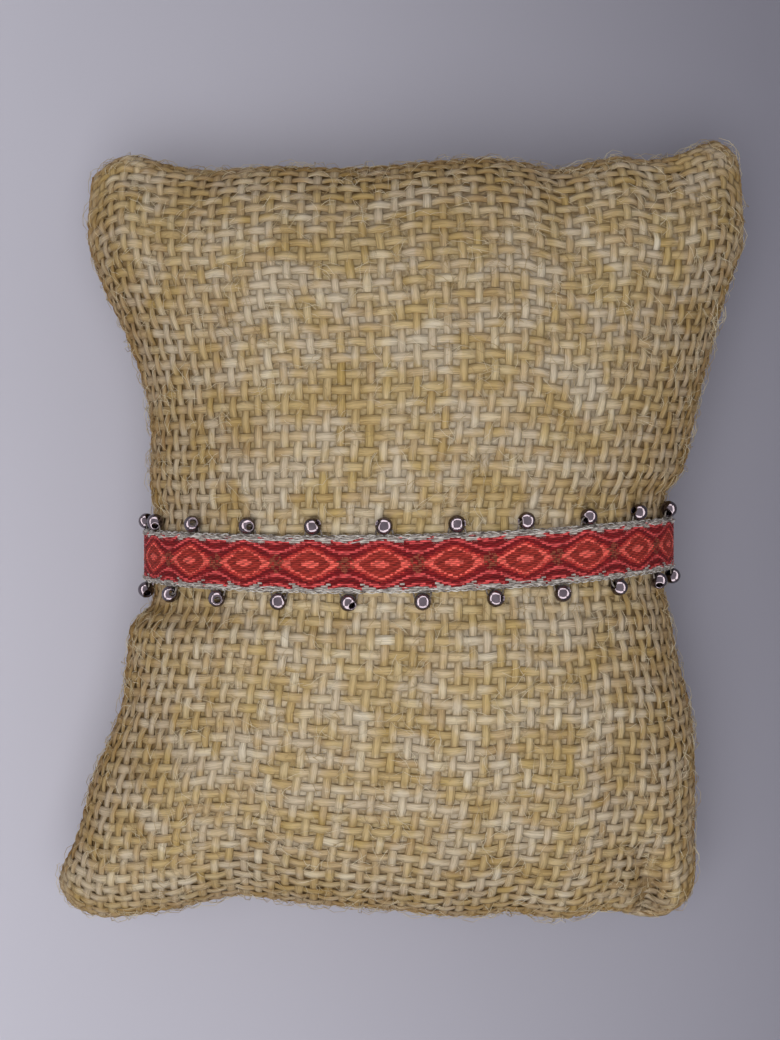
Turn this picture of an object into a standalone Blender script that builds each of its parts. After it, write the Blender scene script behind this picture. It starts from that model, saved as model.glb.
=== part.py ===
"""A thread-woven bracelet with small metal beads on both edges, closed round the stuffed burlap
pillow that displays it.

The pillow lies on its back with its two sewn ends at +Y and -Y. The bracelet goes round its waist,
in the XZ plane, and its clasp is underneath. Metres, +Z up, the pillow resting on Z = 0.
"""

import math

import bmesh
import bpy
import numpy as np
from mathutils import Matrix, Vector

MM = 0.001

# Pillow
PILLOW_WIDTH = 95.0 * MM
PILLOW_LENGTH = 108.0 * MM
CROWN_HEIGHT = 25.0 * MM
SEAM_HEIGHT = 15.0 * MM
BELLY_DEPTH = 17.5 * MM
END_SEAM_THICKNESS = 3.6 * MM
REST_EDGE_SOFTNESS = 1.5 * MM
CROWN_ROUNDNESS = 1.9
BELLY_ROUNDNESS = 2.7
END_ROUNDNESS = 2.6

# Each row is one place along the pillow, from the lower sewn end to the upper one. The place is a
# share of half the length, and left and right are shares of half the width.
SIDE_COLUMNS = ("along", "left", "right")
SIDES = (
    (-1.02, 0.90, 0.84),
    (-0.96, 0.96, 0.88),
    (-0.80, 0.91, 0.89),
    (-0.66, 0.87, 0.89),
    (-0.50, 0.79, 0.88),
    (-0.28, 0.76, 0.82),
    (-0.09, 0.71, 0.815),
    (0.10, 0.70, 0.85),
    (0.27, 0.70, 0.89),
    (0.45, 0.76, 0.94),
    (0.60, 0.84, 0.99),
    (0.70, 0.88, 1.03),
    (0.82, 0.88, 1.03),
    (0.92, 0.86, 1.02),
    (1.02, 0.79, 0.99),
)

# Each row is one place across the pillow, from its left side to its right one. Upper and lower are
# how far the sewn ends reach there, as shares of half the length.
END_COLUMNS = ("across", "upper", "lower")
ENDS = (
    (-1.00, 0.885, 1.000),
    (-0.93, 0.931, 1.018),
    (-0.78, 0.910, 1.005),
    (-0.60, 0.888, 0.980),
    (-0.45, 0.893, 0.953),
    (-0.20, 0.883, 0.965),
    (0.10, 0.904, 0.982),
    (0.28, 0.909, 1.000),
    (0.44, 0.885, 0.988),
    (0.58, 0.922, 1.012),
    (0.72, 0.914, 0.991),
    (0.86, 0.950, 1.015),
    (0.95, 0.974, 1.014),
    (1.00, 0.940, 0.980),
)

# Each row is a crease that runs in from a sewn end: its place across and along as shares of half
# the width and length, its direction in degrees from +X, and its length, width and depth as
# shares of the crown height.
CREASE_COLUMNS = ("across", "along", "turn", "length", "width", "depth")
CREASES = (
    (-0.56, 0.84, 70, 0.50, 0.16, 0.060),
    (0.44, 0.86, 100, 0.42, 0.16, 0.055),
    (-0.42, -0.92, 80, 0.40, 0.15, 0.070),
    (0.70, -0.90, 98, 0.42, 0.10, 0.090),
    (0.30, -0.96, 88, 0.25, 0.12, 0.040),
)

# Band
BAND_WIDTH = 6.7 * MM
BAND_THICKNESS = 1.0 * MM
BAND_EDGE_ROUND = 0.25 * MM
BAND_PLACE = -5.35 * MM
BAND_TILT = math.radians(1.1)
BAND_BOW = 2.4 * MM
BAND_SINK = 0.1 * MM

# Beads
BEAD_DIAMETER = 2.0 * MM
BEAD_HOLE = 0.9 * MM
BEAD_LIFT = 0.35 * MM
LOWER_BEAD_COUNT = 19
CLASP_TO_FIRST_BEAD = 6.6 * MM
CLASP_TO_LAST_BEAD = 4.4 * MM
BEAD_SIDES = 12
BEAD_BANDS = 5
BEAD_TURNS = (0, 24, -18, 35, -30, 12, -8, 28, -22, 5)

# Clasp
CLASP_LENGTH = 10.0 * MM
CLASP_WIDTH = 8.8 * MM
CLASP_THICKNESS = 2.5 * MM
CLASP_GRIP = 1.6 * MM
CLASP_EDGE_ROUND = 0.4 * MM

# Clearances
GAP = 0.3 * MM
GROOVE_FLANK = 4.0 * MM
CLASP_POCKET_MARGIN = 2.2 * MM

# Mesh fineness
COLUMNS = 56
END_ROWS = 12
END_ROW_EXPONENT = 1.7
FLANK_ROWS = 4
LOOP_POINTS = 112
LOOP_SAMPLES = 721
SHARP_ANGLE = math.radians(50)


def column(table, names, name):
    return np.array([row[names.index(name)] for row in table])


def through(table, names, name, at):
    """A table's column as a smooth curve through its rows, read at the places in at."""
    places, values = column(table, names, names[0]), column(table, names, name)
    slopes = np.gradient(values, places)
    at = np.clip(at, places[0], places[-1])
    i = np.clip(np.searchsorted(places, at) - 1, 0, len(places) - 2)
    span = places[i + 1] - places[i]
    f = (at - places[i]) / span
    return (
        values[i] * (1 - f) ** 2 * (1 + 2 * f)
        + values[i + 1] * f**2 * (3 - 2 * f)
        + span * f * (1 - f) * (slopes[i] * (1 - f) - slopes[i + 1] * f)
    )


def power(value, exponent):
    return np.sign(value) * np.abs(value) ** exponent


def step(value):
    """0 below 0, 1 above 1 and smooth in between."""
    value = np.clip(value, 0, 1)
    return value**2 * (3 - 2 * value)


def end_reach(across, y):
    """How far the nearer sewn end lies from the middle, at a place across the pillow."""
    upper = through(ENDS, END_COLUMNS, "upper", across)
    lower = through(ENDS, END_COLUMNS, "lower", across)
    return np.where(y > 0, upper, lower) * PILLOW_LENGTH / 2


def creases(x, y):
    """How deep the creases that run in from the sewn ends are at a point of the upper side."""
    depth = np.zeros_like(x)
    for across, along, turn, length, width, deep in CREASES:
        dx = x - across * PILLOW_WIDTH / 2
        dy = y - along * PILLOW_LENGTH / 2
        turn = math.radians(turn)
        down = (dx * math.cos(turn) + dy * math.sin(turn)) / (length * CROWN_HEIGHT)
        over = (dy * math.cos(turn) - dx * math.sin(turn)) / (width * CROWN_HEIGHT)
        depth += deep * CROWN_HEIGHT * np.exp(-(down**2) - over**2)
    return depth


def skin(angle, y):
    """Points of the pillow's cover, with no bracelet on it.

    The angle goes round the waist from +X over the crown.
    """
    across = power(np.cos(angle), 2 / CROWN_ROUNDNESS)
    along = y / (PILLOW_LENGTH / 2)
    left = through(SIDES, SIDE_COLUMNS, "left", along)
    right = through(SIDES, SIDE_COLUMNS, "right", along)
    x = ((right - left) + across * (right + left)) * PILLOW_WIDTH / 4
    reach = np.clip(np.abs(y) / end_reach(across, y), 0, 1)
    fullness = (1 - reach**END_ROUNDNESS) ** (1 / END_ROUNDNESS)
    top = np.sin(angle) >= 0
    rise = np.abs(np.sin(angle)) ** (2 / np.where(top, CROWN_ROUNDNESS, BELLY_ROUNDNESS))
    edge = END_SEAM_THICKNESS / 2
    height = edge + (np.where(top, CROWN_HEIGHT, BELLY_DEPTH) - edge) * fullness
    z = SEAM_HEIGHT + np.where(top, 1, -1) * rise * height
    z = z - np.where(top, rise, 0) * creases(x, y)
    soft = REST_EDGE_SOFTNESS
    near_table = (np.clip(z, -soft, soft) + soft) ** 2 / (4 * soft)
    return np.stack([x, y, np.where(z > soft, z, near_table)], -1)


def inward(angle, y):
    """Unit vectors from the cover into the pillow, in the plane across it."""
    small = 0.004
    run = skin(angle + small, y) - skin(angle - small, y)
    normal = np.stack([-run[..., 2], np.zeros_like(y), run[..., 0]], -1)
    return normal / np.linalg.norm(normal, axis=-1, keepdims=True)


def band_line(x):
    """The y of the bracelet's middle line, which tilts and bows a little across the pillow."""
    return BAND_PLACE + math.tan(BAND_TILT) * x + BAND_BOW * (x / (PILLOW_WIDTH / 2)) ** 2


def on_band(angle, offset=0.0):
    """The y that lies a distance beside the bracelet's middle line, at each angle."""
    y = np.full_like(angle, BAND_PLACE + offset)
    for _ in range(3):
        y = band_line(skin(angle, y)[..., 0]) + offset
    return y


def sink(points):
    """How far the band's middle lies inside the bare cover.

    It is little on top, and more underneath, where the pillow's weight presses the beads in until
    it stands on its own cover.
    """
    under = BEAD_DIAMETER / 2 + BEAD_LIFT + GAP
    share = step(1 - points[:, 2] / SEAM_HEIGHT)
    return BAND_SINK + (under - BAND_SINK) * share


def room_under_band(points):
    """From the band's middle to the cover below it: room for the beads, and more for the clasp."""
    bead_room = BEAD_DIAMETER / 2 - BEAD_LIFT
    room = max(BAND_THICKNESS / 2, bead_room) + GAP
    clasp_room = max(CLASP_THICKNESS / 2 + GAP, room)
    from_clasp = np.abs(points[:, 0] - clasp_middle())
    clear = step((from_clasp - CLASP_LENGTH / 2 - CLASP_POCKET_MARGIN) / GROOVE_FLANK)
    at_clasp = (1 - clear) * (points[:, 2] < SEAM_HEIGHT)
    return room + (clasp_room - room) * at_clasp


def clasp_middle():
    """The x under the middle of the waist, where the bracelet closes."""
    underneath = np.array([-math.pi / 2])
    return skin(underneath, on_band(underneath))[0, 0]


def groove_floor():
    """Half the width of the groove's flat floor, which holds the band, its beads and the clasp."""
    bead_reach = BAND_WIDTH / 2 + GAP + BEAD_DIAMETER
    return max(bead_reach, CLASP_WIDTH / 2) + GAP


def band_frame(angle):
    """How the band lies at each angle round the waist.

    Returns its middle line, the cover's pressed-in floor under it, its tangent and its direction
    across.
    """
    small = 0.01
    y = on_band(angle)
    bare = skin(angle, y)
    into = inward(angle, y)
    middle = bare + into * sink(bare)[:, None]
    floor = middle + into * room_under_band(bare)[:, None]
    before, after = [
        skin(near, on_band(near)) + inward(near, y) * sink(bare)[:, None]
        for near in (angle - small, angle + small)
    ]
    tangent = before - after
    tangent /= np.linalg.norm(tangent, axis=1, keepdims=True)
    width = np.array([0.0, 1.0, 0.0]) - tangent * tangent[:, 1:2]
    width /= np.linalg.norm(width, axis=1, keepdims=True)
    return middle, floor, tangent, width


def pillow_rows(angle):
    """Rows of points round the pillow, from the lower sewn end to the upper one."""
    flanks = [groove_floor() + GROOVE_FLANK * k / FLANK_ROWS for k in range(FLANK_ROWS + 1)]
    offsets = [-side for side in reversed(flanks)] + [0.0] + flanks
    across = power(np.cos(angle), 2 / CROWN_ROUNDNESS)
    shares = [1 - (1 - k / END_ROWS) ** END_ROW_EXPONENT for k in range(1, END_ROWS + 1)]
    zones = []
    for end in (-1, 1):
        start = on_band(angle, end * flanks[-1])
        tip = end * end_reach(across, np.full_like(angle, float(end)))
        zones.append([skin(angle, start + share * (tip - start)) for share in shares])
    return zones[0][::-1] + groove_rows(angle, offsets) + zones[1]


def groove_rows(angle, offsets):
    """Rows of points where the bracelet presses the cover in, each at an offset beside the band."""
    _, floor, _, width = band_frame(angle)
    rows = []
    for offset in offsets:
        bare = skin(angle, on_band(angle, offset))
        pressed = 1 - step((abs(offset) - groove_floor()) / GROOVE_FLANK)
        rows.append(bare + (floor + offset * width - bare) * pressed)
    return rows


def loop_path():
    """The band's middle line as an open loop from the clasp round over the crown and back.

    Returns points at equal steps, their distances from the crown, and each point's tangent, its
    direction across the band and its direction out of the pillow.
    """
    angle = np.linspace(1.5 * math.pi, -math.pi / 2, LOOP_SAMPLES)
    fine, _, tangent, width = band_frame(angle)
    walk = np.concatenate([[0], np.cumsum(np.linalg.norm(np.diff(fine, axis=0), axis=1))])
    crown = np.interp(-math.pi / 2, -angle, walk)
    even = np.linspace(0, walk[-1], LOOP_POINTS + 1)
    lines = [
        np.stack([np.interp(even, walk, line[:, k]) for k in range(3)], -1)
        for line in (fine, tangent, width)
    ]
    return lines[0], even - crown, lines[1], lines[2], np.cross(lines[1], lines[2])


def at_distance(loop, distance):
    """One place on the loop: a matrix whose X runs along the band, Y across it and Z outwards."""
    points, walk, *axes = loop
    place = Matrix.Identity(4)
    for k, axis in enumerate(axes):
        vector = Vector([np.interp(distance, walk, axis[:, c]) for c in range(3)]).normalized()
        place.col[k][:3] = vector
    place.col[3][:3] = [np.interp(distance, walk, points[:, c]) for c in range(3)]
    return place


def make_object(name, bm, material):
    bmesh.ops.recalc_face_normals(bm, faces=bm.faces)
    mesh = bpy.data.meshes.new(name)
    bm.to_mesh(mesh)
    bm.free()
    mesh.shade_smooth()
    mesh.set_sharp_from_angle(angle=SHARP_ANGLE)
    return add_object(name, mesh, material)


def add_object(name, mesh, material):
    part = bpy.data.objects.new(name, mesh)
    bpy.context.scene.collection.objects.link(part)
    if not mesh.materials:
        mesh.materials.append(material)
    return part


def make_material(name, colour, roughness, metallic=0.0):
    material = bpy.data.materials.new(name)
    material.use_nodes = True
    shader = material.node_tree.nodes["Principled BSDF"]
    shader.inputs["Base Color"].default_value = (*colour, 1.0)
    shader.inputs["Roughness"].default_value = roughness
    shader.inputs["Metallic"].default_value = metallic
    return material


def ring_faces(bm, rings, closed_along=False):
    """Quads between neighbouring rings of vertices."""
    pairs = list(zip(rings, rings[1:]))
    if closed_along:
        pairs.append((rings[-1], rings[0]))
    for near, far in pairs:
        for k in range(len(near)):
            after = (k + 1) % len(near)
            bm.faces.new((near[k], near[after], far[after], far[k]))


def make_pillow():
    angle = np.arange(COLUMNS) * 2 * math.pi / COLUMNS
    bm = bmesh.new()
    rings = [[bm.verts.new(point) for point in row] for row in pillow_rows(angle)]
    ring_faces(bm, rings)
    half = COLUMNS // 2
    for ring in (rings[0], rings[-1]):
        bm.faces.new((ring[0], ring[1], ring[-1]))
        bm.faces.new((ring[half - 1], ring[half], ring[half + 1]))
        for k in range(1, half - 1):
            bm.faces.new((ring[k], ring[k + 1], ring[-k - 1], ring[-k]))
    burlap = make_material("burlap", (0.55, 0.44, 0.27), 0.95)
    return make_object("pillow", bm, burlap)


def band_section():
    """The corners of the band's section, clockwise, with its edges rounded off by a chamfer."""
    wide, thick, cut = BAND_WIDTH / 2, BAND_THICKNESS / 2, BAND_EDGE_ROUND
    quarter = ((wide, thick - cut), (wide - cut, thick))
    section = list(quarter)
    section += [(-a, b) for a, b in reversed(quarter)]
    section += [(-a, -b) for a, b in quarter]
    section += [(a, -b) for a, b in reversed(quarter)]
    return section


def make_band(loop):
    first, last = band_ends(loop)
    keep = [first] + [d for d in loop[1] if first + GAP < d < last - GAP] + [last]
    bm = bmesh.new()
    rings = []
    for distance in keep:
        place = at_distance(loop, distance)
        rings.append([bm.verts.new(place @ Vector((0, a, b))) for a, b in band_section()])
    ring_faces(bm, rings)
    bm.faces.new(rings[0])
    bm.faces.new(rings[-1])
    return make_object("band", bm, make_material("woven_thread", (0.45, 0.06, 0.05), 0.8))


def band_ends(loop):
    """The distances from the crown of the band's two ends, which lie inside the clasp."""
    hidden = CLASP_LENGTH / 2 - CLASP_GRIP
    return loop[1][0] + hidden, loop[1][-1] - hidden


def make_clasp(loop):
    """One plain metal piece under the pillow, with a slot at each end that grips the band."""
    place = at_distance(loop, loop[1][0])
    place.col[0][:3] = (1, 0, 0)
    place.col[1][:3] = (0, 1, 0)
    place.col[2][:3] = (0, 0, 1)
    bm = bmesh.new()
    size = Matrix.Diagonal((CLASP_LENGTH, CLASP_WIDTH, CLASP_THICKNESS, 1))
    bmesh.ops.create_cube(bm, size=1.0, matrix=size)
    bmesh.ops.bevel(
        bm, geom=bm.edges[:], offset=CLASP_EDGE_ROUND, segments=2, profile=0.5, affect="EDGES"
    )
    steel = make_material("clasp_steel", (0.45, 0.45, 0.46), 0.3, 1.0)
    clasp = make_object("clasp", bm, steel)
    clasp.matrix_world = place
    for side in (-1, 1):
        cutter_mesh = bmesh.new()
        slot = (2 * (CLASP_GRIP + GAP), BAND_WIDTH + 2 * GAP, BAND_THICKNESS + 2 * GAP, 1)
        bmesh.ops.create_cube(cutter_mesh, size=1.0, matrix=Matrix.Diagonal(slot))
        cutter = make_object(f"slot_cutter_{side}", cutter_mesh, steel)
        cutter.matrix_world = place @ Matrix.Translation((side * CLASP_LENGTH / 2, 0, 0))
        cutter.hide_render = True
        cutter.display_type = "WIRE"
        cut = clasp.modifiers.new("slot", "BOOLEAN")
        cut.operation = "DIFFERENCE"
        cut.object = cutter


def bead_mesh():
    """A round bead drilled along its X axis."""
    radius, bore = BEAD_DIAMETER / 2, BEAD_HOLE / 2
    mouth = math.asin(bore / radius)
    bm = bmesh.new()
    rings = []
    for k in range(BEAD_BANDS + 1):
        turn = mouth + (math.pi - 2 * mouth) * k / BEAD_BANDS
        rings.append(bead_ring(bm, radius * math.cos(turn), radius * math.sin(turn)))
    ring_faces(bm, rings, closed_along=True)
    bmesh.ops.recalc_face_normals(bm, faces=bm.faces)
    mesh = bpy.data.meshes.new("bead")
    bm.to_mesh(mesh)
    bm.free()
    mesh.shade_smooth()
    mesh.set_sharp_from_angle(angle=SHARP_ANGLE)
    return mesh


def bead_ring(bm, x, radius):
    turns = [2 * math.pi * k / BEAD_SIDES for k in range(BEAD_SIDES)]
    return [bm.verts.new((x, radius * math.cos(t), radius * math.sin(t))) for t in turns]


def bead_places(loop):
    """The name and the place of each bead.

    The lower edge's beads go from one side of the clasp to the other at equal steps, and the upper
    edge's beads lie halfway between them.
    """
    first = loop[1][0] + CLASP_LENGTH / 2 + CLASP_TO_FIRST_BEAD
    last = loop[1][-1] - CLASP_LENGTH / 2 - CLASP_TO_LAST_BEAD
    pitch = (last - first) / (LOWER_BEAD_COUNT - 1)
    beside = BAND_WIDTH / 2 + GAP + BEAD_DIAMETER / 2
    upper_start = first + pitch / 2
    for edge, side, start, count in (
        ("upper", 1, upper_start, LOWER_BEAD_COUNT - 1),
        ("lower", -1, first, LOWER_BEAD_COUNT),
    ):
        for k in range(count):
            place = at_distance(loop, start + k * pitch)
            turn = math.radians(BEAD_TURNS[k % len(BEAD_TURNS)])
            offset = Matrix.Translation((0, side * beside, BEAD_LIFT))
            yield f"bead_{edge}_{k + 1:02d}", place @ offset @ Matrix.Rotation(turn, 4, "Z")


def make_beads(loop):
    mesh = bead_mesh()
    metal = make_material("bead_metal", (0.42, 0.40, 0.42), 0.2, 1.0)
    for name, place in bead_places(loop):
        add_object(name, mesh, metal).matrix_world = place


def clear_scene():
    for old in list(bpy.data.objects):
        bpy.data.objects.remove(old, do_unlink=True)


def centre_on_pillow(pillow):
    """Hangs everything on one empty that puts the pillow's middle over the origin."""
    corners = np.array([vertex.co for vertex in pillow.data.vertices])
    middle = (corners.min(0) + corners.max(0)) / 2
    stand = bpy.data.objects.new("bracelet_on_pillow", None)
    bpy.context.scene.collection.objects.link(stand)
    for part in bpy.data.objects:
        if part is not stand:
            part.parent = stand
    stand.location = (-middle[0], -middle[1], 0)


def main():
    clear_scene()
    pillow = make_pillow()
    loop = loop_path()
    make_band(loop)
    make_clasp(loop)
    make_beads(loop)
    centre_on_pillow(pillow)


main()
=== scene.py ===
# %% [markdown]
# # A woven bracelet with metal edge beads, on its burlap display pillow
#
# This file dresses a plain CAD model as the real thing. The solids are already there: a stuffed
# pillow, a band round its waist, 37 drilled beads and a clasp. What they lack is everything that
# makes cloth look like cloth. So the cells below lay real yarns over the pillow, thread by thread,
# and weave the band the same way. Lengths are in metres, and names that end in MM say so.

# %% Load the frame
import math
import random

import bmesh
import bpy
import numpy as np
from mathutils import Matrix, Vector
from mathutils.bvhtree import BVHTree


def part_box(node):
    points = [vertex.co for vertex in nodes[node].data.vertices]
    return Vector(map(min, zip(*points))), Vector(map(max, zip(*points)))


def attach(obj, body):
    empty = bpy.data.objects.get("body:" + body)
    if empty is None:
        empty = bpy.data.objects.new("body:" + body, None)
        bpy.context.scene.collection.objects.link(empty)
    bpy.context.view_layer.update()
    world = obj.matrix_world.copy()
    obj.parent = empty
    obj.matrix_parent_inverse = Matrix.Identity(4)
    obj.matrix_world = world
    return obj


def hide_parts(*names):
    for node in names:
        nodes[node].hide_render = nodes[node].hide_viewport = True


MM = 0.001
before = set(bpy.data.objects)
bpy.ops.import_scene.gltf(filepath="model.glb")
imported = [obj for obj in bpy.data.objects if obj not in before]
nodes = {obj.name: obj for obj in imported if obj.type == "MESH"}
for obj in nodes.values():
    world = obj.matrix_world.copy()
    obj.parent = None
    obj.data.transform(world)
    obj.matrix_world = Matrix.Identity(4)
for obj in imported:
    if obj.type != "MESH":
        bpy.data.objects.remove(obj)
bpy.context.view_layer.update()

# %% [markdown]
# ## The camera
#
# The photograph was taken with a phone held straight above the pillow, so close that the crown
# looks larger than the seams beside it. A real camera distance gives the same enlargement for
# nothing, while a longer lens from further away would flatten it.

# %% Camera
CAMERA_PLACE = Vector((-1.54, 1.19, 210.0)) * MM
LENS_MM = 48.4
SENSOR_MM = 36.0

scene = bpy.context.scene
camera_data = bpy.data.cameras.new("camera")
camera_data.lens = LENS_MM
camera_data.sensor_width = SENSOR_MM
camera_data.clip_start = 1 * MM
camera = bpy.data.objects.new("camera", camera_data)
camera.location = CAMERA_PLACE
scene.collection.objects.link(camera)
scene.camera = camera
print("camera", round(CAMERA_PLACE.z / MM), "mm up, with a lens of", LENS_MM, "mm")

# %% [markdown]
# ## Colours as the eye names them
#
# Blender's shaders work in linear light, but colours are easiest to name as they look on a screen,
# from 0 to 255. The helper turns the second kind into the first, with the curve that every screen
# uses. A middle grey of the screen is only a fifth of full light, as the printed line shows.


# %% A helper for colours
def screen(red, green, blue):
    """A colour as it looks on a screen, 0 to 255, in the linear values that shaders use."""
    linear = []
    for value in (red, green, blue):
        value /= 255
        linear.append(value / 12.92 if value <= 0.04045 else ((value + 0.055) / 1.055) ** 2.4)
    return (*linear, 1.0)


print("the screen's middle grey is", round(screen(128, 128, 128)[0], 3), "of full light")

# %% [markdown]
# ## Nodes in one line each
#
# Two kinds of node tree follow, for shapes and for materials, and both are built from hundreds of
# small steps. In the editor each step is a box and some wires. In a script it can be one line: a
# helper adds the box, fills in its inputs, and gives back the box or the socket it ends in.


# %% Helpers for nodes
def add(tree, kind, inputs=None, **settings):
    """A new node. Each input is given by its name or number: another node's socket, or a value."""
    node = tree.nodes.new(kind)
    for key, value in settings.items():
        setattr(node, key, value)
    for key, value in (inputs or {}).items():
        if isinstance(value, bpy.types.NodeSocket):
            tree.links.new(value, node.inputs[key])
        else:
            node.inputs[key].default_value = value
    return node


def calc(tree, operation, *values):
    """The result of one sum on up to three values, each a socket or a number."""
    return add(tree, "ShaderNodeMath", dict(enumerate(values)), operation=operation).outputs[0]


def centred(tree, value):
    """A value round one half, moved to lie round zero."""
    return calc(tree, "SUBTRACT", value, 0.5)


def limited(tree, value, most):
    """The value, held between zero and the most that it may be."""
    return calc(tree, "MINIMUM", calc(tree, "MAXIMUM", value, 0.0), most)


def vector_of(tree, x, y, z):
    """Three values as one vector."""
    return add(tree, "ShaderNodeCombineXYZ", {0: x, 1: y, 2: z}).outputs[0]


print("helpers:", ", ".join(f.__name__ for f in (add, calc, centred, limited, vector_of)))

# %% [markdown]
# ## The start of every material
#
# Nearly all finishes here begin in the same way. A noise texture gives smooth random values, a
# ramp turns those values into colours, and the colours go into the principled shader. Real
# surfaces are never one even tone, and this is the cheapest way to say so.


# %% Helpers for materials
def noise(tree, vector, scale=1.0, detail=2.0):
    """Smooth random values round one half."""
    inputs = {"Vector": vector, "Scale": scale, "Detail": detail}
    return add(tree, "ShaderNodeTexNoise", inputs).outputs[0]


def ramp(tree, factor, stops):
    """A colour for each value of the factor."""
    node = add(tree, "ShaderNodeValToRGB", {0: factor})
    elements = node.color_ramp.elements
    while len(elements) < len(stops):
        elements.new(0.5)
    for element, (place, colour) in zip(elements, stops):
        element.position = place
        element.color = colour
    return node.outputs[0]


def object_place(tree):
    """Each point's own place in the object."""
    return add(tree, "ShaderNodeTexCoord").outputs["Object"]


def new_material(name):
    """A material, its tree and its shader's inputs."""
    material = bpy.data.materials.new(name)
    material.use_nodes = True
    return material, material.node_tree, material.node_tree.nodes["Principled BSDF"].inputs


print("helpers:", ", ".join(f.__name__ for f in (noise, ramp, object_place, new_material)))

# %% [markdown]
# ## The floor
#
# The pillow lies on a plain pale sheet. It looks lighter at the lower left and deeper grey at the
# right, where less light falls. A second lamp could do that, but it would light the pillow too.
# So the sheet's own colour carries that as painted shade, deepening from one side to the other.


# %% Floor
FLOOR_SIZE = 1.6
GREY_IN_MIDDLE = 0.56
# painted shade on the sheet: how fast its grey deepens to the right and upwards
PAINTED_SHADE_RIGHTWARDS = 6.8
PAINTED_SHADE_UPWARDS = 0.9
CLOUD_SCALE = 14.0
CLOUD_STRENGTH = 0.12
SHEET_GREYS_AND_PAINTED_SHADE = (
    (0.0, screen(212, 211, 223)), (0.55, screen(180, 179, 191)), (1.0, screen(136, 135, 147)),
)


def ground_material():
    """A smooth pale sheet with painted shade: its grey deepens towards the right and upwards."""
    material, tree, shader = new_material("pale_ground_painted_shade")
    place = object_place(tree)
    x, y, _ = add(tree, "ShaderNodeSeparateXYZ", {0: place}).outputs
    cloud = centred(tree, noise(tree, place, CLOUD_SCALE, 1.0))
    grey = calc(tree, "MULTIPLY_ADD", cloud, CLOUD_STRENGTH, GREY_IN_MIDDLE)
    # painted shade: the grey deepens to the right and upwards, standing in for light that falls off
    grey = calc(tree, "MULTIPLY_ADD", x, PAINTED_SHADE_RIGHTWARDS, grey)
    grey = calc(tree, "MULTIPLY_ADD", y, PAINTED_SHADE_UPWARDS, grey)
    tree.links.new(ramp(tree, grey, SHEET_GREYS_AND_PAINTED_SHADE), shader["Base Color"])
    shader["Roughness"].default_value = 0.85
    shader["Specular IOR Level"].default_value = 0.1
    return material


def add_object(name, mesh):
    """A mesh as an object of the scene."""
    piece = bpy.data.objects.new(name, mesh)
    scene.collection.objects.link(piece)
    return piece


floor_mesh = bpy.data.meshes.new("floor")
half = FLOOR_SIZE / 2
floor_corners = [(-half, -half, 0), (half, -half, 0), (half, half, 0), (-half, half, 0)]
floor_mesh.from_pydata(floor_corners, [], [(0, 1, 2, 3)])
floor_mesh.materials.append(ground_material())
floor = add_object("floor", floor_mesh)
print("floor", FLOOR_SIZE, "m wide, at z =", floor.location.z)

# %% [markdown]
# ## The light
#
# The light is soft and comes from above, a little stronger from the lower left. Lit walls and a
# lit ceiling stand round the pillow, as in a small photo tent, and the beads show them. Each bead
# is a tiny convex mirror with one bright ring, the walls, round a grey middle, the ceiling. A lamp
# can be hidden from glossy or from diffuse rays. Here walls and ceiling are for reflections only,
# and the key light is for the soft shadows only, so each can be set without upsetting the other.

# %% Lights
WALL_DISTANCE = 0.34
WALL_HEIGHT = 0.19
WALL_SIZE = (0.58, 0.15)
WALL_AIM = (0, 0, 0.03)
WALL_POWER = 1.5
CEILING_HEIGHT = 0.60
CEILING_SIZE = (1.3, 1.3)
CEILING_POWER = 3.2
KEY_PLACE = (-0.04, -0.08, 0.42)
KEY_AIM = (0, 0, 0.02)
KEY_SIZE = (0.34, 0.34)
KEY_POWER = 1.25
ROOM_STRENGTH = 0.25


def add_area_light(name, place, target, size, power, colour):
    """A rectangular lamp that faces its target."""
    light = bpy.data.lights.new(name, "AREA")
    light.shape = "RECTANGLE"
    light.size, light.size_y = size
    light.energy = power
    light.color = colour
    lamp = bpy.data.objects.new(name, light)
    lamp.location = place
    lamp.rotation_euler = (Vector(target) - Vector(place)).to_track_quat("-Z", "Y").to_euler()
    scene.collection.objects.link(lamp)
    return lamp


for number in range(4):
    turn = math.radians(90 * number)
    place = (WALL_DISTANCE * math.cos(turn), WALL_DISTANCE * math.sin(turn), WALL_HEIGHT)
    wall = add_area_light(
        f"wall_{number + 1}", place, WALL_AIM, WALL_SIZE, WALL_POWER, (1, 0.98, 0.96)
    )
    wall.visible_diffuse = False
above = (0, 0, CEILING_HEIGHT)
ceiling = add_area_light("ceiling", above, (0, 0, 0), CEILING_SIZE, CEILING_POWER, (0.98, 0.94, 1))
ceiling.visible_diffuse = False
key = add_area_light("key", KEY_PLACE, KEY_AIM, KEY_SIZE, KEY_POWER, (1, 0.99, 0.98))
key.visible_glossy = False
world = bpy.data.worlds.new("room")
world.use_nodes = True
background = world.node_tree.nodes["Background"]
background.inputs["Color"].default_value = screen(250, 248, 255)
background.inputs["Strength"].default_value = ROOM_STRENGTH
scene.world = world
scene.view_settings.view_transform = "Standard"
print("four lit walls, a ceiling, one key light and a pale room")

# %% [markdown]
# ## One even surface for the cover
#
# Burlap is a grid of yarns: the warp runs up the pillow and the weft runs round it. To lay yarns,
# a script needs to know where each point of that grid lies on the stuffed shape. The CAD pillow
# has the right shape, but its faces say nothing about the grid. So the next cells rest a net on
# it. Straight rays read the shape, which keeps the net exactly on the solid. The first thing to
# read is the outline: where the two sewn ends lie, and where the two sides are.

# %% Rays onto the CAD pillow
SEAM_HEIGHT = 15 * MM
END_SHARE = 0.998
LEAST_END_SHARE = 0.8
OUTLINE_SAMPLES = 241
SURELY_INSIDE = 0.3
SURELY_OUTSIDE = 1.1
HALVINGS = 14
FAR = 0.2

pillow_rays = BVHTree.FromObject(nodes["pillow"], bpy.context.evaluated_depsgraph_get())
pillow_low, pillow_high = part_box("pillow")


def first_hit(start, direction):
    """Where a ray first meets the CAD pillow, if it does."""
    return pillow_rays.ray_cast(Vector(start), Vector(direction))[0]


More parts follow.
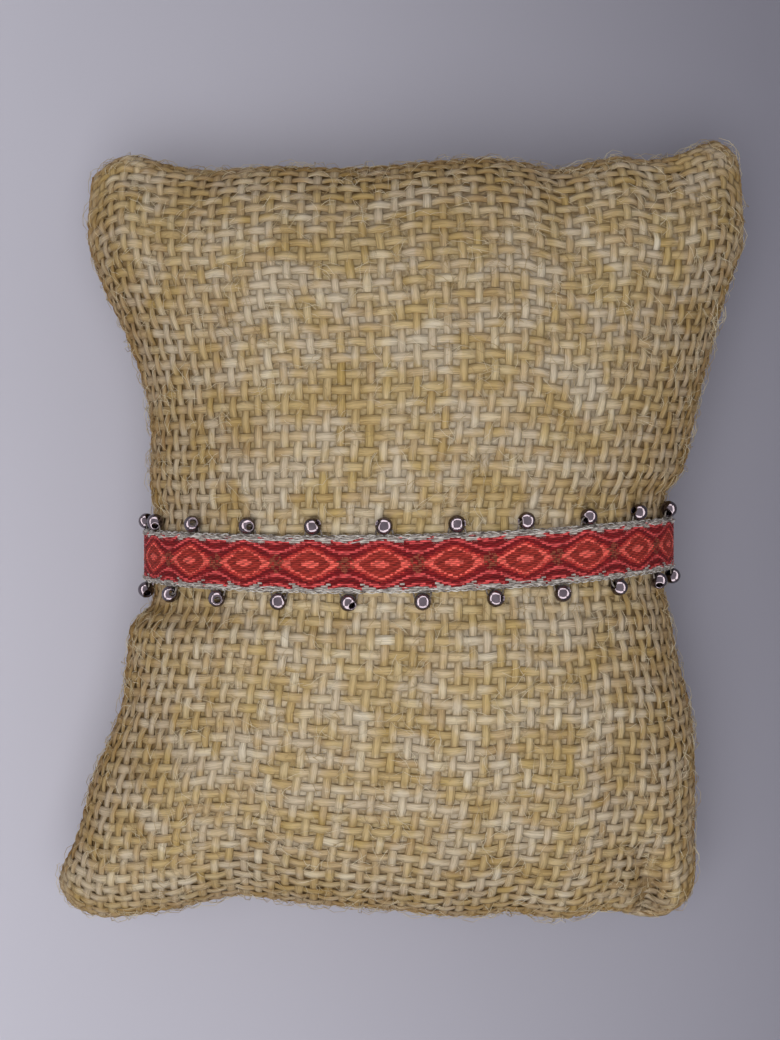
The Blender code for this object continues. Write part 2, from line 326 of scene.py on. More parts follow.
def end_place(across, end):
    """How far the sewn end lies from the middle, at one place across the pillow."""
    hit = first_hit((across, end * FAR, SEAM_HEIGHT), (0, -end, 0))
    return None if hit is None else hit.y


def end_table(end):
    """The sewn end's outline, sampled across the pillow."""
    steps = np.linspace(pillow_low.x, pillow_high.x, OUTLINE_SAMPLES)
    found = [(x, end_place(x, end)) for x in steps]
    least = LEAST_END_SHARE * pillow_high.y
    return np.array([(x, y) for x, y in found if y is not None and y * end > least])


ENDS = {end: end_table(end) for end in (-1, 1)}


def along_at(across, share):
    """The place along the pillow of a ring, at one place across it."""
    table = ENDS[1 if share > 0 else -1]
    return abs(share) * float(np.interp(across, table[:, 0], table[:, 1]))


def side_place(share, side):
    """Where a ring crosses the pillow's left or right side, found by halving the doubt each time."""
    inside = side * SURELY_INSIDE * pillow_high.x
    outside = side * SURELY_OUTSIDE * pillow_high.x
    for _ in range(HALVINGS):
        middle = (inside + outside) / 2
        if first_hit((middle, along_at(middle, share), FAR), (0, 0, -1)) is None:
            outside = middle
        else:
            inside = middle
    return inside


print("sewn ends read at", [len(table) for table in ENDS.values()], "places")

# %% [markdown]
# ## Rings round the pillow
#
# A ring is one loop round the pillow, like a barrel hoop. It is read with rays from above for the
# upper half and from below for the lower half. Rays that are an even step apart bunch up their
# points on the flanks, so each half is then walked along, and new points are set at even steps.
# The crown line, from end to end over the top, is measured first, since it sets the rings' places.


# %% Reading one ring
RING_RAYS = 150
POINTS_ROUND = 204
CROWN_SAMPLES = 400


def ring(share, left, middle, right):
    """A ring of points: from the right side underneath to the left side, and back on top."""
    points = []
    for side in (-1, 1):
        for k in range(RING_RAYS):
            swing = -side * math.cos(math.pi * k / RING_RAYS)
            x = middle + swing * ((right - middle) if swing > 0 else (middle - left))
            y = along_at(x, share)
            hit = None
            if k > 0:
                hit = first_hit((x, y, side * FAR), (0, 0, -side))
            points.append((x, y, hit.z if hit is not None else SEAM_HEIGHT))
    return np.array(points)


def walk_along(points):
    """The distance walked at each point of a line."""
    steps = np.linalg.norm(np.diff(points, axis=0), axis=1)
    return np.concatenate([[0], np.cumsum(steps)])


def even_line(points, count, length):
    """The line from the crown to the middle underneath, with points at even steps.

    The steps come from the length given, which changes slowly from ring to ring. What the true
    length has more or less than that is made up underneath, near the line's end.
    """
    walk = walk_along(points)
    share = np.linspace(0, 1, count + 1)
    even = share * length + share ** 4 * (walk[-1] - length)
    return np.stack([np.interp(even, walk, points[:, k]) for k in range(3)], -1)


def half_rings(points):
    """A ring's two halves, each from the crown to the middle underneath."""
    turned = np.roll(points, -(RING_RAYS // 2), axis=0)
    closed = np.vstack([turned, turned[:1]])
    return closed[:RING_RAYS + 1][::-1], closed[RING_RAYS:]


crown_shares = END_SHARE * np.sin(np.linspace(-math.pi / 2, math.pi / 2, CROWN_SAMPLES))
crown_line = []
for share in crown_shares:
    y = along_at(0.0, share)
    crown_line.append((0, y, first_hit((0, y, FAR), (0, 0, -1)).z))
crown_walk = walk_along(np.array(crown_line))
print("over the crown from end to end", round(crown_walk[-1] / MM, 1), "mm")

# %% [markdown]
# ## From rings to a net
#
# The rings go an even step apart over the crown, two for each weft yarn. Where a side of the
# pillow is creased, neighbouring rings can differ a little in length and centre, and yarns laid
# over them would jitter. Both are smoothed along the pillow, so only slow changes stay.

# %% All the rings
WEFT_PITCH = 1.92 * MM
WARP_COUNT = 102
WEFT_COUNT = int(round(crown_walk[-1] / WEFT_PITCH)) + 1
ROWS_PER_WEFT = 2
SMOOTHING_ROWS = 12


def smoothed(values):
    """Each value replaced by the mean of its neighbours on both sides."""
    padded = np.concatenate([[values[0]] * SMOOTHING_ROWS, values, [values[-1]] * SMOOTHING_ROWS])
    window = 2 * SMOOTHING_ROWS + 1
    return np.convolve(padded, np.ones(window) / window, mode="valid")


ring_count = (WEFT_COUNT - 1) * ROWS_PER_WEFT + 1
ring_shares = np.interp(np.linspace(0, crown_walk[-1], ring_count), crown_walk, crown_shares)
lefts = [side_place(share, -1) for share in ring_shares]
rights = [side_place(share, 1) for share in ring_shares]
centres = smoothed(np.add(lefts, rights) / 2)
halves = [half_rings(ring(*facts)) for facts in zip(ring_shares, lefts, centres, rights)]
lengths = [smoothed([walk_along(pair[side])[-1] for pair in halves]) for side in (0, 1)]
rings = []
for row, pair in enumerate(halves):
    left, right = [even_line(pair[k], POINTS_ROUND // 2, lengths[k][row]) for k in (0, 1)]
    rings.append(np.vstack([left[:0:-1], right[:-1]]))
waist = lengths[0][ring_count // 2] + lengths[1][ring_count // 2]
print(ring_count, "rings, the waist is", round(waist / MM, 1), "mm round")

# %% [markdown]
# ## Creases in the corners
#
# The stuffing doesn't reach into the corners, so the cloth sinks there. The deepest fold is a tuck
# at the lower right, with a small ridge beside it. Each crease is a short line on the upper side,
# along which the rings' points are sunk, deeper towards the corner and less away from the line. A
# negative depth makes the ridge. Near the seam a crease fades out. The numbers are start, end,
# depth and width in millimetres.

# %% Creases
CREASE_FADE = 3 * MM
CREASES = (
    ((32.6, -41.5), (33.8, -52.5), 4.2, 1.6), ((37.6, -42.5), (37.8, -50.5), -1.2, 2.2),
    ((-31.0, 42.0), (-36.5, 48.0), 1.2, 1.5), ((31.0, 41.0), (37.0, 48.5), 1.4, 1.6),
)


def creased(points):
    """Points of the upper side sunk along each crease, most towards the crease's end."""
    points = points.copy()
    for start, end, depth, width in CREASES:
        start, end = np.array(start) * MM, np.array(end) * MM
        run = end - start
        from_start = points[:, :2] - start
        share = np.clip(from_start @ run / (run @ run), 0, 1)
        away = np.linalg.norm(from_start - share[:, None] * run, axis=1)
        drop = depth * MM * np.sqrt(share) * np.exp(-((away / (width * MM)) ** 2))
        points[:, 2] -= drop * np.clip((points[:, 2] - SEAM_HEIGHT) / CREASE_FADE, 0, 1)
    return points


uncreased = np.array(rings)
rings = [creased(points) for points in rings]
print("the deepest crease is", round((uncreased - np.array(rings)).max() / MM, 1), "mm deep")

# %% [markdown]
# ## Closing the ends and joining the net
#
# At each end the upper and the lower cloth meet in a sewn line. A few more rings round the net off
# to that line. Then the rings are joined into one mesh. Its UV map has U going round and V going
# from one sewn end to the other, so a yarn is a straight line in that map. The helper that joins
# rows of points closes them if U has one place more than a row has points. If it hasn't, the rows
# stay open.

# %% The net
CLOSING_ROWS = 3
CLOSED_HEIGHT = 0.04
CLOSED_REACH = 0.8


def closing_rings(last, share):
    """Rings that round the end off to the sewn line, where upper and lower side meet."""
    closed = []
    full = np.array([along_at(x, math.copysign(1, share)) for x in last[:, 0]])
    for k in range(1, CLOSING_ROWS + 1):
        turn = 0.5 * math.pi * k / CLOSING_ROWS
        points = last.copy()
        points[:, 1] = (END_SHARE + (1 - END_SHARE) * CLOSED_REACH * math.sin(turn)) * full
        points[:, 2] = SEAM_HEIGHT + (last[:, 2] - SEAM_HEIGHT) * max(math.cos(turn), CLOSED_HEIGHT)
        closed.append(points)
    return closed


net = closing_rings(rings[0], -1)[::-1] + rings + closing_rings(rings[-1], 1)


def skin_mesh(name, rows, across_shares, along_shares):
    """Rows of points joined into a skin. Its UV map has U along a row and V from row to row."""
    mesh = bpy.data.meshes.new(name)
    count = len(rows[0])
    faces = []
    places = []
    for r in range(len(rows) - 1):
        now, then = r * count, (r + 1) * count
        v0, v1 = along_shares[r], along_shares[r + 1]
        for c in range(len(across_shares) - 1):
            after = (c + 1) % count
            faces.append((now + c, now + after, then + after, then + c))
            u0, u1 = across_shares[c], across_shares[c + 1]
            places += [(u0, v0), (u1, v0), (u1, v1), (u0, v1)]
    mesh.from_pydata([tuple(p) for row in rows for p in row], [], faces)
    uv = mesh.uv_layers.new(name="weave")
    uv.data.foreach_set("uv", np.array(places, np.float32).ravel())
    mesh.shade_smooth()
    return mesh


def even_shares(count):
    """Shares from zero to one at even steps."""
    return [k / count for k in range(count + 1)]


def net_mesh(name, rows):
    """Closed rings joined into one skin, with the UV map for laying yarns."""
    return skin_mesh(name, rows, even_shares(len(rows[0])), even_shares(len(rows) - 1))


cover_net = add_object("cover_net", net_mesh("cover_net", net))
print("net of", len(cover_net.data.polygons), "faces")

# %% [markdown]
# ## A tree that lays threads on any surface
#
# A yarn of plain weave goes over one crossing yarn and under the next. A wave along the yarn does
# that, and the next yarn has the same wave shifted by half its length. Thousands of crossings are
# far too many to place by hand, but they all follow this one rule, which is what Geometry Nodes
# are good at. The first helpers start a tree with named inputs, read and store numbers on its
# points, and look up a place of the UV map on a surface.


# %% Helpers for shape trees
def new_tree(name, sizes):
    """An empty Geometry Nodes tree with named inputs, and its input and output nodes."""
    tree = bpy.data.node_groups.new(name, "GeometryNodeTree")
    tree.interface.new_socket("Geometry", in_out="INPUT", socket_type="NodeSocketGeometry")
    tree.interface.new_socket("Geometry", in_out="OUTPUT", socket_type="NodeSocketGeometry")
    for label, kind in sizes.items():
        tree.interface.new_socket(label, in_out="INPUT", socket_type="NodeSocket" + kind)
    given = tree.nodes.new("NodeGroupInput").outputs
    result = tree.nodes.new("NodeGroupOutput").inputs[0]
    return tree, given, result


def position_parts(tree):
    """The three parts of each point's place."""
    position = add(tree, "GeometryNodeInputPosition").outputs[0]
    return add(tree, "ShaderNodeSeparateXYZ", {0: position}).outputs


def store(tree, geometry, name, value, kind="FLOAT"):
    """The geometry, with a value stored under a name on each point."""
    inputs = {"Geometry": geometry, "Name": name, "Value": value}
    return add(tree, "GeometryNodeStoreNamedAttribute", inputs, data_type=kind).outputs[0]


def named(tree, name, kind):
    """The values stored under a name."""
    return add(tree, "GeometryNodeInputNamedAttribute", {"Name": name}, data_type=kind).outputs[0]


def look_up(tree, surface, value, place):
    """A vector of the surface, at each UV place."""
    uv = named(tree, "weave", "FLOAT_VECTOR")
    inputs = {"Mesh": surface, "Value": value, "UV Map": uv, "Sample UV": place}
    return add(tree, "GeometryNodeSampleUVSurface", inputs, data_type="FLOAT_VECTOR").outputs[0]


def set_position(tree, geometry, position):
    """The geometry, with its points moved to new places."""
    inputs = {"Geometry": geometry, "Position": position}
    return add(tree, "GeometryNodeSetPosition", inputs).outputs[0]


def kept_above(tree, geometry, lowest):
    """The points raised to the lowest height allowed, where they lie under it."""
    x, y, z = position_parts(tree)
    return set_position(tree, geometry, vector_of(tree, x, y, calc(tree, "MAXIMUM", z, lowest)))


def choice(tree, switch, when_false, when_true):
    """One of two values, as the switch says."""
    inputs = {"Switch": switch, "False": when_false, "True": when_true}
    return add(tree, "GeometryNodeSwitch", inputs, input_type="FLOAT").outputs[0]


def finished(tree, geometry, material, result):
    """The last two nodes of every tree: instances made real, and the material set."""
    geometry = add(tree, "GeometryNodeRealizeInstances", {"Geometry": geometry}).outputs[0]
    inputs = {"Geometry": geometry, "Material": material}
    tree.links.new(add(tree, "GeometryNodeSetMaterial", inputs).outputs[0], result)


TREE_HELPERS = (new_tree, store, named, look_up, set_position, kept_above, choice, finished)
print("helpers:", ", ".join(f.__name__ for f in TREE_HELPERS))

# %% [markdown]
# ## The thread tree, step by step
#
# The threads start as straight lines in a flat square, one unit long and one unit apart. Their
# numbers are worked out there: how far along, which lane, and how high the wave stands. Then each
# point looks up where it lies on the surface, and is lifted by the wave along the surface's
# normal. A flat oval section drawn along each line gives the thread its body. The same tree serves
# the burlap and the fine threads of the band, with other numbers.


# %% The section of a thread
def flat_section(tree, sides, thickness, width):
    """An oval section, thin along the surface's normal.

    It carries one number: how far each point lies to one side, from -1 to 1.
    """
    circle = add(tree, "GeometryNodeCurvePrimitiveCircle", {"Resolution": sides, "Radius": 0.5})
    factor = add(tree, "GeometryNodeSplineParameter").outputs["Factor"]
    turn = calc(tree, "MULTIPLY", factor, 2 * math.pi)
    marked = store(tree, circle.outputs[0], "side", calc(tree, "SINE", turn))
    scale = vector_of(tree, thickness, width, 1.0)
    return add(tree, "GeometryNodeTransform", {"Geometry": marked, "Scale": scale}).outputs[0]


print("a section knows how far each of its points lies to one side, from -1 to 1")


# %% Lines in the flat square
THREAD_SIZES = {
    "Surface": "Object", "Round": "Bool", "Threads": "Int", "Samples": "Int", "First": "Float",
    "Last": "Float", "Number": "Float", "Length": "Float", "Waves": "Float", "Shift": "Float",
    "Phase": "Float", "Wave Height": "Float", "Lift": "Float", "Lowest": "Float",
    "Width": "Float", "Thickness": "Float", "Sides": "Int", "Slub": "Float", "Sway": "Float",
    "Seed": "Float", "Material": "Material",
}
SWAY_SCALE = 0.37
SLUB_SCALE = 0.31


def flat_lines(tree, given):
    """Straight lines in a flat square, as many and with as many points as given."""
    line = add(tree, "GeometryNodeCurvePrimitiveLine", {"End": (1, 0, 0)}).outputs[0]
    line = add(tree, "GeometryNodeResampleCurve", {"Curve": line, "Count": given["Samples"]})
    starts = add(tree, "GeometryNodeMeshLine", {"Count": given["Threads"], "Offset": (0, 1, 0)})
    laid = {"Points": starts.outputs[0], "Instance": line.outputs[0]}
    lines = add(tree, "GeometryNodeInstanceOnPoints", laid).outputs[0]
    return add(tree, "GeometryNodeRealizeInstances", {"Geometry": lines}).outputs[0]


def marked_lines(tree, given, lines):
    """The lines with their numbers stored, and the place, height and girth of each point."""
    x, y, _ = position_parts(tree)
    number = calc(tree, "ADD", y, given["Number"])
    ring_share = calc(tree, "DIVIDE", calc(tree, "SUBTRACT", given["Samples"], 1), given["Samples"])
    along = calc(tree, "MULTIPLY", x, choice(tree, given["Round"], 1.0, ring_share))
    gaps = calc(tree, "MAXIMUM", calc(tree, "SUBTRACT", given["Threads"], 1), 1)
    spread = calc(tree, "SUBTRACT", given["Last"], given["First"])
    lane = calc(tree, "MULTIPLY_ADD", calc(tree, "DIVIDE", y, gaps), spread, given["First"])
    wander_place = vector_of(tree, calc(tree, "MULTIPLY", along, given["Waves"]), number, given["Seed"])
    wander = centred(tree, noise(tree, wander_place, SWAY_SCALE, 1.0))
    lane_swayed = calc(tree, "MULTIPLY_ADD", wander, given["Sway"], lane)
    phase = calc(tree, "MULTIPLY_ADD", number, given["Shift"], given["Phase"])
    half_waves = calc(tree, "MULTIPLY_ADD", along, given["Waves"], phase)
    wave = calc(tree, "COSINE", calc(tree, "MULTIPLY", half_waves, math.pi))
    slub_along = calc(tree, "MULTIPLY", half_waves, SLUB_SCALE)
    slub_place = vector_of(tree, slub_along, number, given["Seed"])
    slub = centred(tree, noise(tree, slub_place, 1.0, 2.0))
    lines = store(tree, lines, "along", calc(tree, "MULTIPLY", along, given["Length"]))
    lines = store(tree, lines, "thread", number)
    lines = store(tree, lines, "lane", lane)
    lines = store(tree, lines, "height", wave)
    lines = store(tree, lines, "girth", calc(tree, "MULTIPLY_ADD", slub, given["Slub"], 1.0))
    u = choice(tree, given["Round"], lane_swayed, along)
    v = choice(tree, given["Round"], along, lane_swayed)
    height = calc(tree, "MULTIPLY_ADD", wave, given["Wave Height"], given["Lift"])
    return lines, vector_of(tree, u, v, 0.0), height


print("a thread tree has", len(THREAD_SIZES), "named sizes")


# %% Threads on the surface
def laid_lines(tree, given, lines, place, height):
    """The flat lines moved onto the surface and lifted along its normal."""
    surface = add(tree, "GeometryNodeObjectInfo", {"Object": given["Surface"]}).outputs["Geometry"]
    spot = look_up(tree, surface, add(tree, "GeometryNodeInputPosition").outputs[0], place)
    normal = look_up(tree, surface, add(tree, "GeometryNodeInputNormal").outputs[0], place)
    normal = add(tree, "ShaderNodeVectorMath", {0: normal}, operation="NORMALIZE").outputs[0]
    lines = store(tree, lines, "out", normal, "FLOAT_VECTOR")
    raised = add(tree, "ShaderNodeVectorMath", {0: normal, "Scale": height}, operation="SCALE")
    spot = add(tree, "ShaderNodeVectorMath", {0: spot, 1: raised.outputs[0]}, operation="ADD")
    lines = kept_above(tree, set_position(tree, lines, spot.outputs[0]), given["Lowest"])
    cyclic = {"Geometry": lines, "Cyclic": given["Round"]}
    return add(tree, "GeometryNodeSetSplineCyclic", cyclic).outputs[0]


def build_thread_tree():
    """The whole tree: flat lines, laid on the surface and drawn out as tubes."""
    tree, given, result = new_tree("threads_on_surface", THREAD_SIZES)
    lines, place, height = marked_lines(tree, given, flat_lines(tree, given))
    lines = laid_lines(tree, given, lines, place, height)
    lines = add(tree, "GeometryNodeSetCurveNormal", {"Curve": lines}, mode="FREE")
    tree.links.new(named(tree, "out", "FLOAT_VECTOR"), lines.inputs["Normal"])
    section = flat_section(tree, given["Sides"], given["Thickness"], given["Width"])
    drawn = {
        "Curve": lines.outputs[0], "Profile Curve": section, "Scale": named(tree, "girth", "FLOAT"),
        "Fill Caps": True,
    }
    tubes = add(tree, "GeometryNodeCurveToMesh", drawn).outputs[0]
    tubes = add(tree, "GeometryNodeSetShadeSmooth", {"Geometry": tubes}).outputs[0]
    finished(tree, tubes, given["Material"], result)
    return tree


THREAD_TREE = build_thread_tree()
print("the thread tree has", len(THREAD_TREE.nodes), "nodes")


# %% [markdown]
# ## Growing a piece
#
# A tree does nothing until a modifier runs it on an object. The helper makes that object, gives
# the modifier its sizes, and keeps what comes out as a plain mesh without the modifier. A plain
# mesh is heavier than the tree, but it is what any other program can read.


# %% Grow a piece from a tree
def grow(name, tree, values, start=None):
    """Runs a tree, on a starting mesh if one is given, and keeps its result as a plain mesh."""
    piece = add_object(name, start or bpy.data.meshes.new(name + "_start"))
    modifier = piece.modifiers.new(tree.name, "NODES")
    modifier.node_group = tree
    left = dict(values)
    for socket in tree.interface.items_tree:
        if socket.in_out == "INPUT" and socket.name in left:
            modifier[socket.identifier] = left.pop(socket.name)
    if left:
        raise ValueError(f"{tree.name} has no input named {sorted(left)}")
    depsgraph = bpy.context.evaluated_depsgraph_get()
    mesh = bpy.data.meshes.new_from_object(
        piece.evaluated_get(depsgraph), preserve_all_data_layers=True, depsgraph=depsgraph
    )
    piece.modifiers.clear()
    piece.data = mesh
    mesh.name = name
    triangles = sum(len(face.vertices) - 2 for face in mesh.polygons)
    print(f"{name}: {triangles} triangles")
    return piece


print("the first tree to grow is", THREAD_TREE.name)

# %% [markdown]
# ## Golden and greyish patches
#
# Seen from a step back, the cloth is mottled: a few neighbouring yarns are all golden, and next to
# them a few are all greyish, since the dye took better in some places. The patches run across warp
# and weft alike, so they can't belong to one yarn. They are read from each point's own place in
# the object, and the yarns and what lies behind them will share them.


# %% Helpers for cloth colours
PATCH_SCALE = 220.0
PATCH_EDGE = 6.0
GOLDEN_ABOVE = 0.52
GREYISH_BELOW = 0.47
PATCH_MOST = 0.42
GOLDEN_JUTE = screen(176, 150, 84)
GREYISH_JUTE = screen(200, 192, 178)


def read(tree, name):
    """A number that the piece carries on its points."""
    return add(tree, "ShaderNodeAttribute", attribute_name=name).outputs["Fac"]


def mix(tree, factor, first, second, blend="MIX"):
    """One colour blended into another."""
    node = add(tree, "ShaderNodeMix", {0: factor}, data_type="RGBA", blend_type=blend)
    for socket, value in ((node.inputs[6], first), (node.inputs[7], second)):
        if isinstance(value, bpy.types.NodeSocket):
            tree.links.new(value, socket)
        else:
            socket.default_value = value
    return node.outputs[2]


def patched(tree, colour):
    """The colour turned golden or greyish in patches that run through yarns and backing alike."""
    patch = noise(tree, object_place(tree), PATCH_SCALE, 2.0)
    golden = calc(tree, "MULTIPLY", calc(tree, "SUBTRACT", patch, GOLDEN_ABOVE), PATCH_EDGE)
    greyed = calc(tree, "MULTIPLY", calc(tree, "SUBTRACT", GREYISH_BELOW, patch), PATCH_EDGE)
    colour = mix(tree, limited(tree, golden, PATCH_MOST), colour, GOLDEN_JUTE)
    return mix(tree, limited(tree, greyed, PATCH_MOST), colour, GREYISH_JUTE)


print("patches are about", round(1000 / PATCH_SCALE), "mm wide")

# %% [markdown]
# ## The burlap's finish
#
# Jute is never one colour. Each yarn was spun from a different handful of fibres, so it has its
# own tone, and along it paler and darker tufts follow each other every few millimetres. Fibres run
# along the yarn as fine streaks. The threads carry their places with them as attributes: how far
# along, how far round, and which yarn. The material reads those, so its pattern follows each yarn.
# Painted shade makes each yarn's own flanks and the pillow's steep places deeper, because little
# light reaches between the yarns there, and a painted highlight lightens the tops of crossings.


# %% The tone of a yarn
JUTE_TONES = (
    (0.22, screen(166, 141, 102)), (0.36, screen(180, 157, 119)), (0.46, screen(188, 167, 131)),
    (0.56, screen(195, 177, 144)), (0.66, screen(204, 190, 161)), (0.80, screen(213, 203, 180)),
)
STRAW_GOLD = screen(180, 154, 92)
TUFTS_PER_METRE = 190
TUFT_STEP = 3.7
OWN_TONE = 0.13
GOLD_PER_METRE = 130
GOLD_STEP = 5.1
GOLD_ABOVE = 0.57
GOLD_EDGE = 5
GOLD_MOST = 0.5


def random_along(tree, along, thread, per_metre, step, seed, detail):
    """Random values that change along a yarn, and from yarn to yarn."""
    run = calc(tree, "MULTIPLY", along, per_metre)
    place = vector_of(tree, run, calc(tree, "MULTIPLY", thread, step), seed)
    return noise(tree, place, 1.0, detail)


def yarn_tone(tree, along, thread, seed):
    """Each yarn's own tone, with paler, darker and golden tufts along it."""
    tone = random_along(tree, along, thread, TUFTS_PER_METRE, TUFT_STEP, seed, 2.0)
    own_place = {"Vector": vector_of(tree, thread, seed, 0.0)}
    own = add(tree, "ShaderNodeTexWhiteNoise", own_place).outputs[0]
    tone = calc(tree, "MULTIPLY_ADD", centred(tree, own), OWN_TONE, tone)
    colour = ramp(tree, tone, JUTE_TONES)
    hue = random_along(tree, along, thread, GOLD_PER_METRE, GOLD_STEP, seed, 1.0)
    gold = calc(tree, "MULTIPLY", calc(tree, "SUBTRACT", hue, GOLD_ABOVE), GOLD_EDGE)
    return patched(tree, mix(tree, limited(tree, gold, GOLD_MOST), colour, STRAW_GOLD))


print("jute is mixed from", len(JUTE_TONES), "tones and one gold")


# %% The fibres of a yarn
COARSE_FIBRES = (330, 1.2, 5.0, 3.0)
FINE_FIBRES = (1000, 4.0, 15.0, 2.0)
FINE_SHARE = 0.55


def winding_streaks(tree, along, side, thread, per_metre, winding, crosswise, detail):
    """Streaks that run along a yarn and wind slowly round it."""
    run = calc(tree, "MULTIPLY_ADD", along, per_metre, calc(tree, "MULTIPLY", side, winding))
    place = vector_of(tree, run, calc(tree, "MULTIPLY", side, crosswise), thread)
    return noise(tree, place, 1.0, detail)


def fibre_streaks(tree, along, side, thread):
    """The fibres of a yarn, coarse and fine."""
    coarse = winding_streaks(tree, along, side, thread, *COARSE_FIBRES)
    fine = winding_streaks(tree, along, side, thread, *FINE_FIBRES)
    return calc(tree, "MULTIPLY_ADD", centred(tree, fine), FINE_SHARE, coarse)


print("there are about", COARSE_FIBRES[0], "coarse and", FINE_FIBRES[0], "fine streaks a metre")


# %% Burlap material
PAINTED_FLANK_SHADE = -0.42
STREAK_LIGHT = (1.7, -0.35)
PAINTED_TOP_HIGHLIGHT = 0.16
YARN_STREAKS_AND_PAINTED_SHADE = ((0.05, (0.80, 0.76, 0.70, 1)), (0.60, (1.29, 1.29, 1.29, 1)))
STEEP_BELOW = 0.97
STEEP_EDGE = 1.3
PAINTED_STEEP_SHADE = (0.57, 0.46, 0.33, 1)
FIBRE_DEPTH = 0.14 * MM


def streaked_with_painted_shade(tree, colour, side, streak):
    """Fibre streaks, painted highlight on crossing tops, painted shade on a yarn's own flanks."""
    # painted shade: each yarn's flanks are darker than its middle
    flank = calc(tree, "MULTIPLY", calc(tree, "ABSOLUTE", side), PAINTED_FLANK_SHADE)
    light = calc(tree, "ADD", calc(tree, "MULTIPLY_ADD", streak, *STREAK_LIGHT), flank)
    # painted highlight: the tops of crossings lighter, the dips under them darker
    light = calc(tree, "MULTIPLY_ADD", read(tree, "height"), PAINTED_TOP_HIGHLIGHT, light)
    return mix(tree, 1.0, colour, ramp(tree, light, YARN_STREAKS_AND_PAINTED_SHADE), "MULTIPLY")


def painted_shade_where_steep(tree, colour):
    """Painted shade: a deeper tone where the pillow's surface doesn't face up."""
    out = add(tree, "ShaderNodeAttribute", attribute_name="out").outputs["Vector"]
    upright = add(tree, "ShaderNodeSeparateXYZ", {0: out}).outputs[2]
    # painted shade: the steeper the surface, the darker its tone
    steep = calc(tree, "MULTIPLY", calc(tree, "SUBTRACT", STEEP_BELOW, upright), STEEP_EDGE)
    return mix(tree, limited(tree, steep, 1.0), colour, PAINTED_STEEP_SHADE, "MULTIPLY")


def burlap_material(name, seed):
    """Spun jute, for the yarns of one direction."""
    material, tree, shader = new_material(name)
    along, side, thread = read(tree, "along"), read(tree, "side"), read(tree, "thread")
    streak = fibre_streaks(tree, along, side, thread)
    colour = streaked_with_painted_shade(tree, yarn_tone(tree, along, thread, seed), side, streak)
    tree.links.new(painted_shade_where_steep(tree, colour), shader["Base Color"])
    raised = {"Strength": 0.7, "Distance": FIBRE_DEPTH, "Height": streak}
    tree.links.new(add(tree, "ShaderNodeBump", raised).outputs[0], shader["Normal"])
    shader["Roughness"].default_value = 0.86
    shader["Specular IOR Level"].default_value = 0.08
    return material


WARP_FINISH = burlap_material("burlap_warp", 3.0)
WEFT_FINISH = burlap_material("burlap_weft", 11.0)
print("burlap material of", len(WARP_FINISH.node_tree.nodes), "nodes")

# %% [markdown]
# ## The yarns of the cover
#
# About a hundred warp yarns run from one sewn end to the other, and some sixty weft yarns circle
# the pillow. Each lot is grown in two halves, which keeps every piece small enough to handle. An
# even number of warp yarns makes the over and under meet where a weft ring closes. Three points to
# a crossing are enough. Two of them lie just before and just behind it at one height, so each yarn
# gets a flat top there, as pressed yarns have, and the third lies halfway between two crossings.

# %% Warp and weft
YARN_WIDTH = 1.22 * MM
WEFT_WIDTH = 1.08 * YARN_WIDTH
YARN_THICKNESS = 0.38 * MM
CRIMP = 0.17 * MM
SAMPLES_PER_CROSSING = 3
YARN_SIDES = 6
COVER_LIFT = -0.18 * MM
YARN_LOWEST = 0.48 * MM

common = {
    "Surface": cover_net, "Wave Height": CRIMP, "Lift": COVER_LIFT, "Lowest": YARN_LOWEST,
    "Thickness": YARN_THICKNESS, "Sides": YARN_SIDES, "Slub": 0.75, "Shift": 1.0,
}
weft_rows = WEFT_COUNT + 1
yarns = []
for half_name, first in (("left", 0), ("right", WARP_COUNT // 2)):
    count = WARP_COUNT // 2
    yarns.append(grow("burlap_warp_" + half_name, THREAD_TREE, {
        **common, "Threads": count, "Samples": weft_rows * SAMPLES_PER_CROSSING + 1,
        "First": (first + 0.5) / WARP_COUNT, "Last": (first + count - 0.5) / WARP_COUNT,
        "Number": float(first), "Length": crown_walk[-1], "Waves": float(weft_rows),
        "Phase": -0.5, "Width": YARN_WIDTH, "Sway": 0.0030, "Seed": 1.0,
        "Material": WARP_FINISH,
    }))
for half_name, first, count in (
    ("lower", 0, weft_rows // 2), ("upper", weft_rows // 2, weft_rows - weft_rows // 2),
):
    yarns.append(grow("burlap_weft_" + half_name, THREAD_TREE, {
        **common, "Round": True, "Threads": count,
        "Samples": WARP_COUNT * SAMPLES_PER_CROSSING,
        "First": (first + 0.5) / weft_rows, "Last": (first + count - 0.5) / weft_rows,
        "Number": float(first), "Length": waist, "Waves": float(WARP_COUNT),
        "Phase": 0.5, "Width": WEFT_WIDTH, "Sway": 0.0050, "Seed": 2.0,
        "Material": WEFT_FINISH,
    }))

# %% [markdown]
# ## What lies behind the yarns
#
# Between the yarns of burlap one sees the stuffing where it presses against the cloth, as on the
# crown, and brown shadow where it doesn't, as at the sewn ends. A skin just under the yarns stands
# for both. It takes every second point of the net, which is enough for a smooth skin, and is drawn
# inwards along its normals. It carries a number that says how far it faces up, which is where the
# stuffing shows pale.


# %% Backing under the yarns
BACKING_DEPTH = 0.46 * MM
BACKING_LOWEST = 0.1 * MM
BACKING_STEP = 2
FLECK_SCALE = 1400.0
PRESSED_FROM = 0.74
PRESSED_OVER = 0.2


def backing_material():
    """Flecked stuffing where it is pressed to the cloth, and brown shadow elsewhere."""
    material, tree, shader = new_material("burlap_backing")
    fleck = noise(tree, object_place(tree), FLECK_SCALE, 3.0)
    dark = ramp(tree, fleck, ((0.35, screen(124, 100, 66)), (0.65, screen(154, 130, 92))))
    pale = ramp(tree, fleck, ((0.35, screen(162, 142, 110)), (0.65, screen(208, 192, 162))))
    colour = mix(tree, read(tree, "pressed"), dark, patched(tree, pale))
    tree.links.new(colour, shader["Base Color"])
    shader["Roughness"].default_value = 0.95
    shader["Specular IOR Level"].default_value = 0.05
    return material


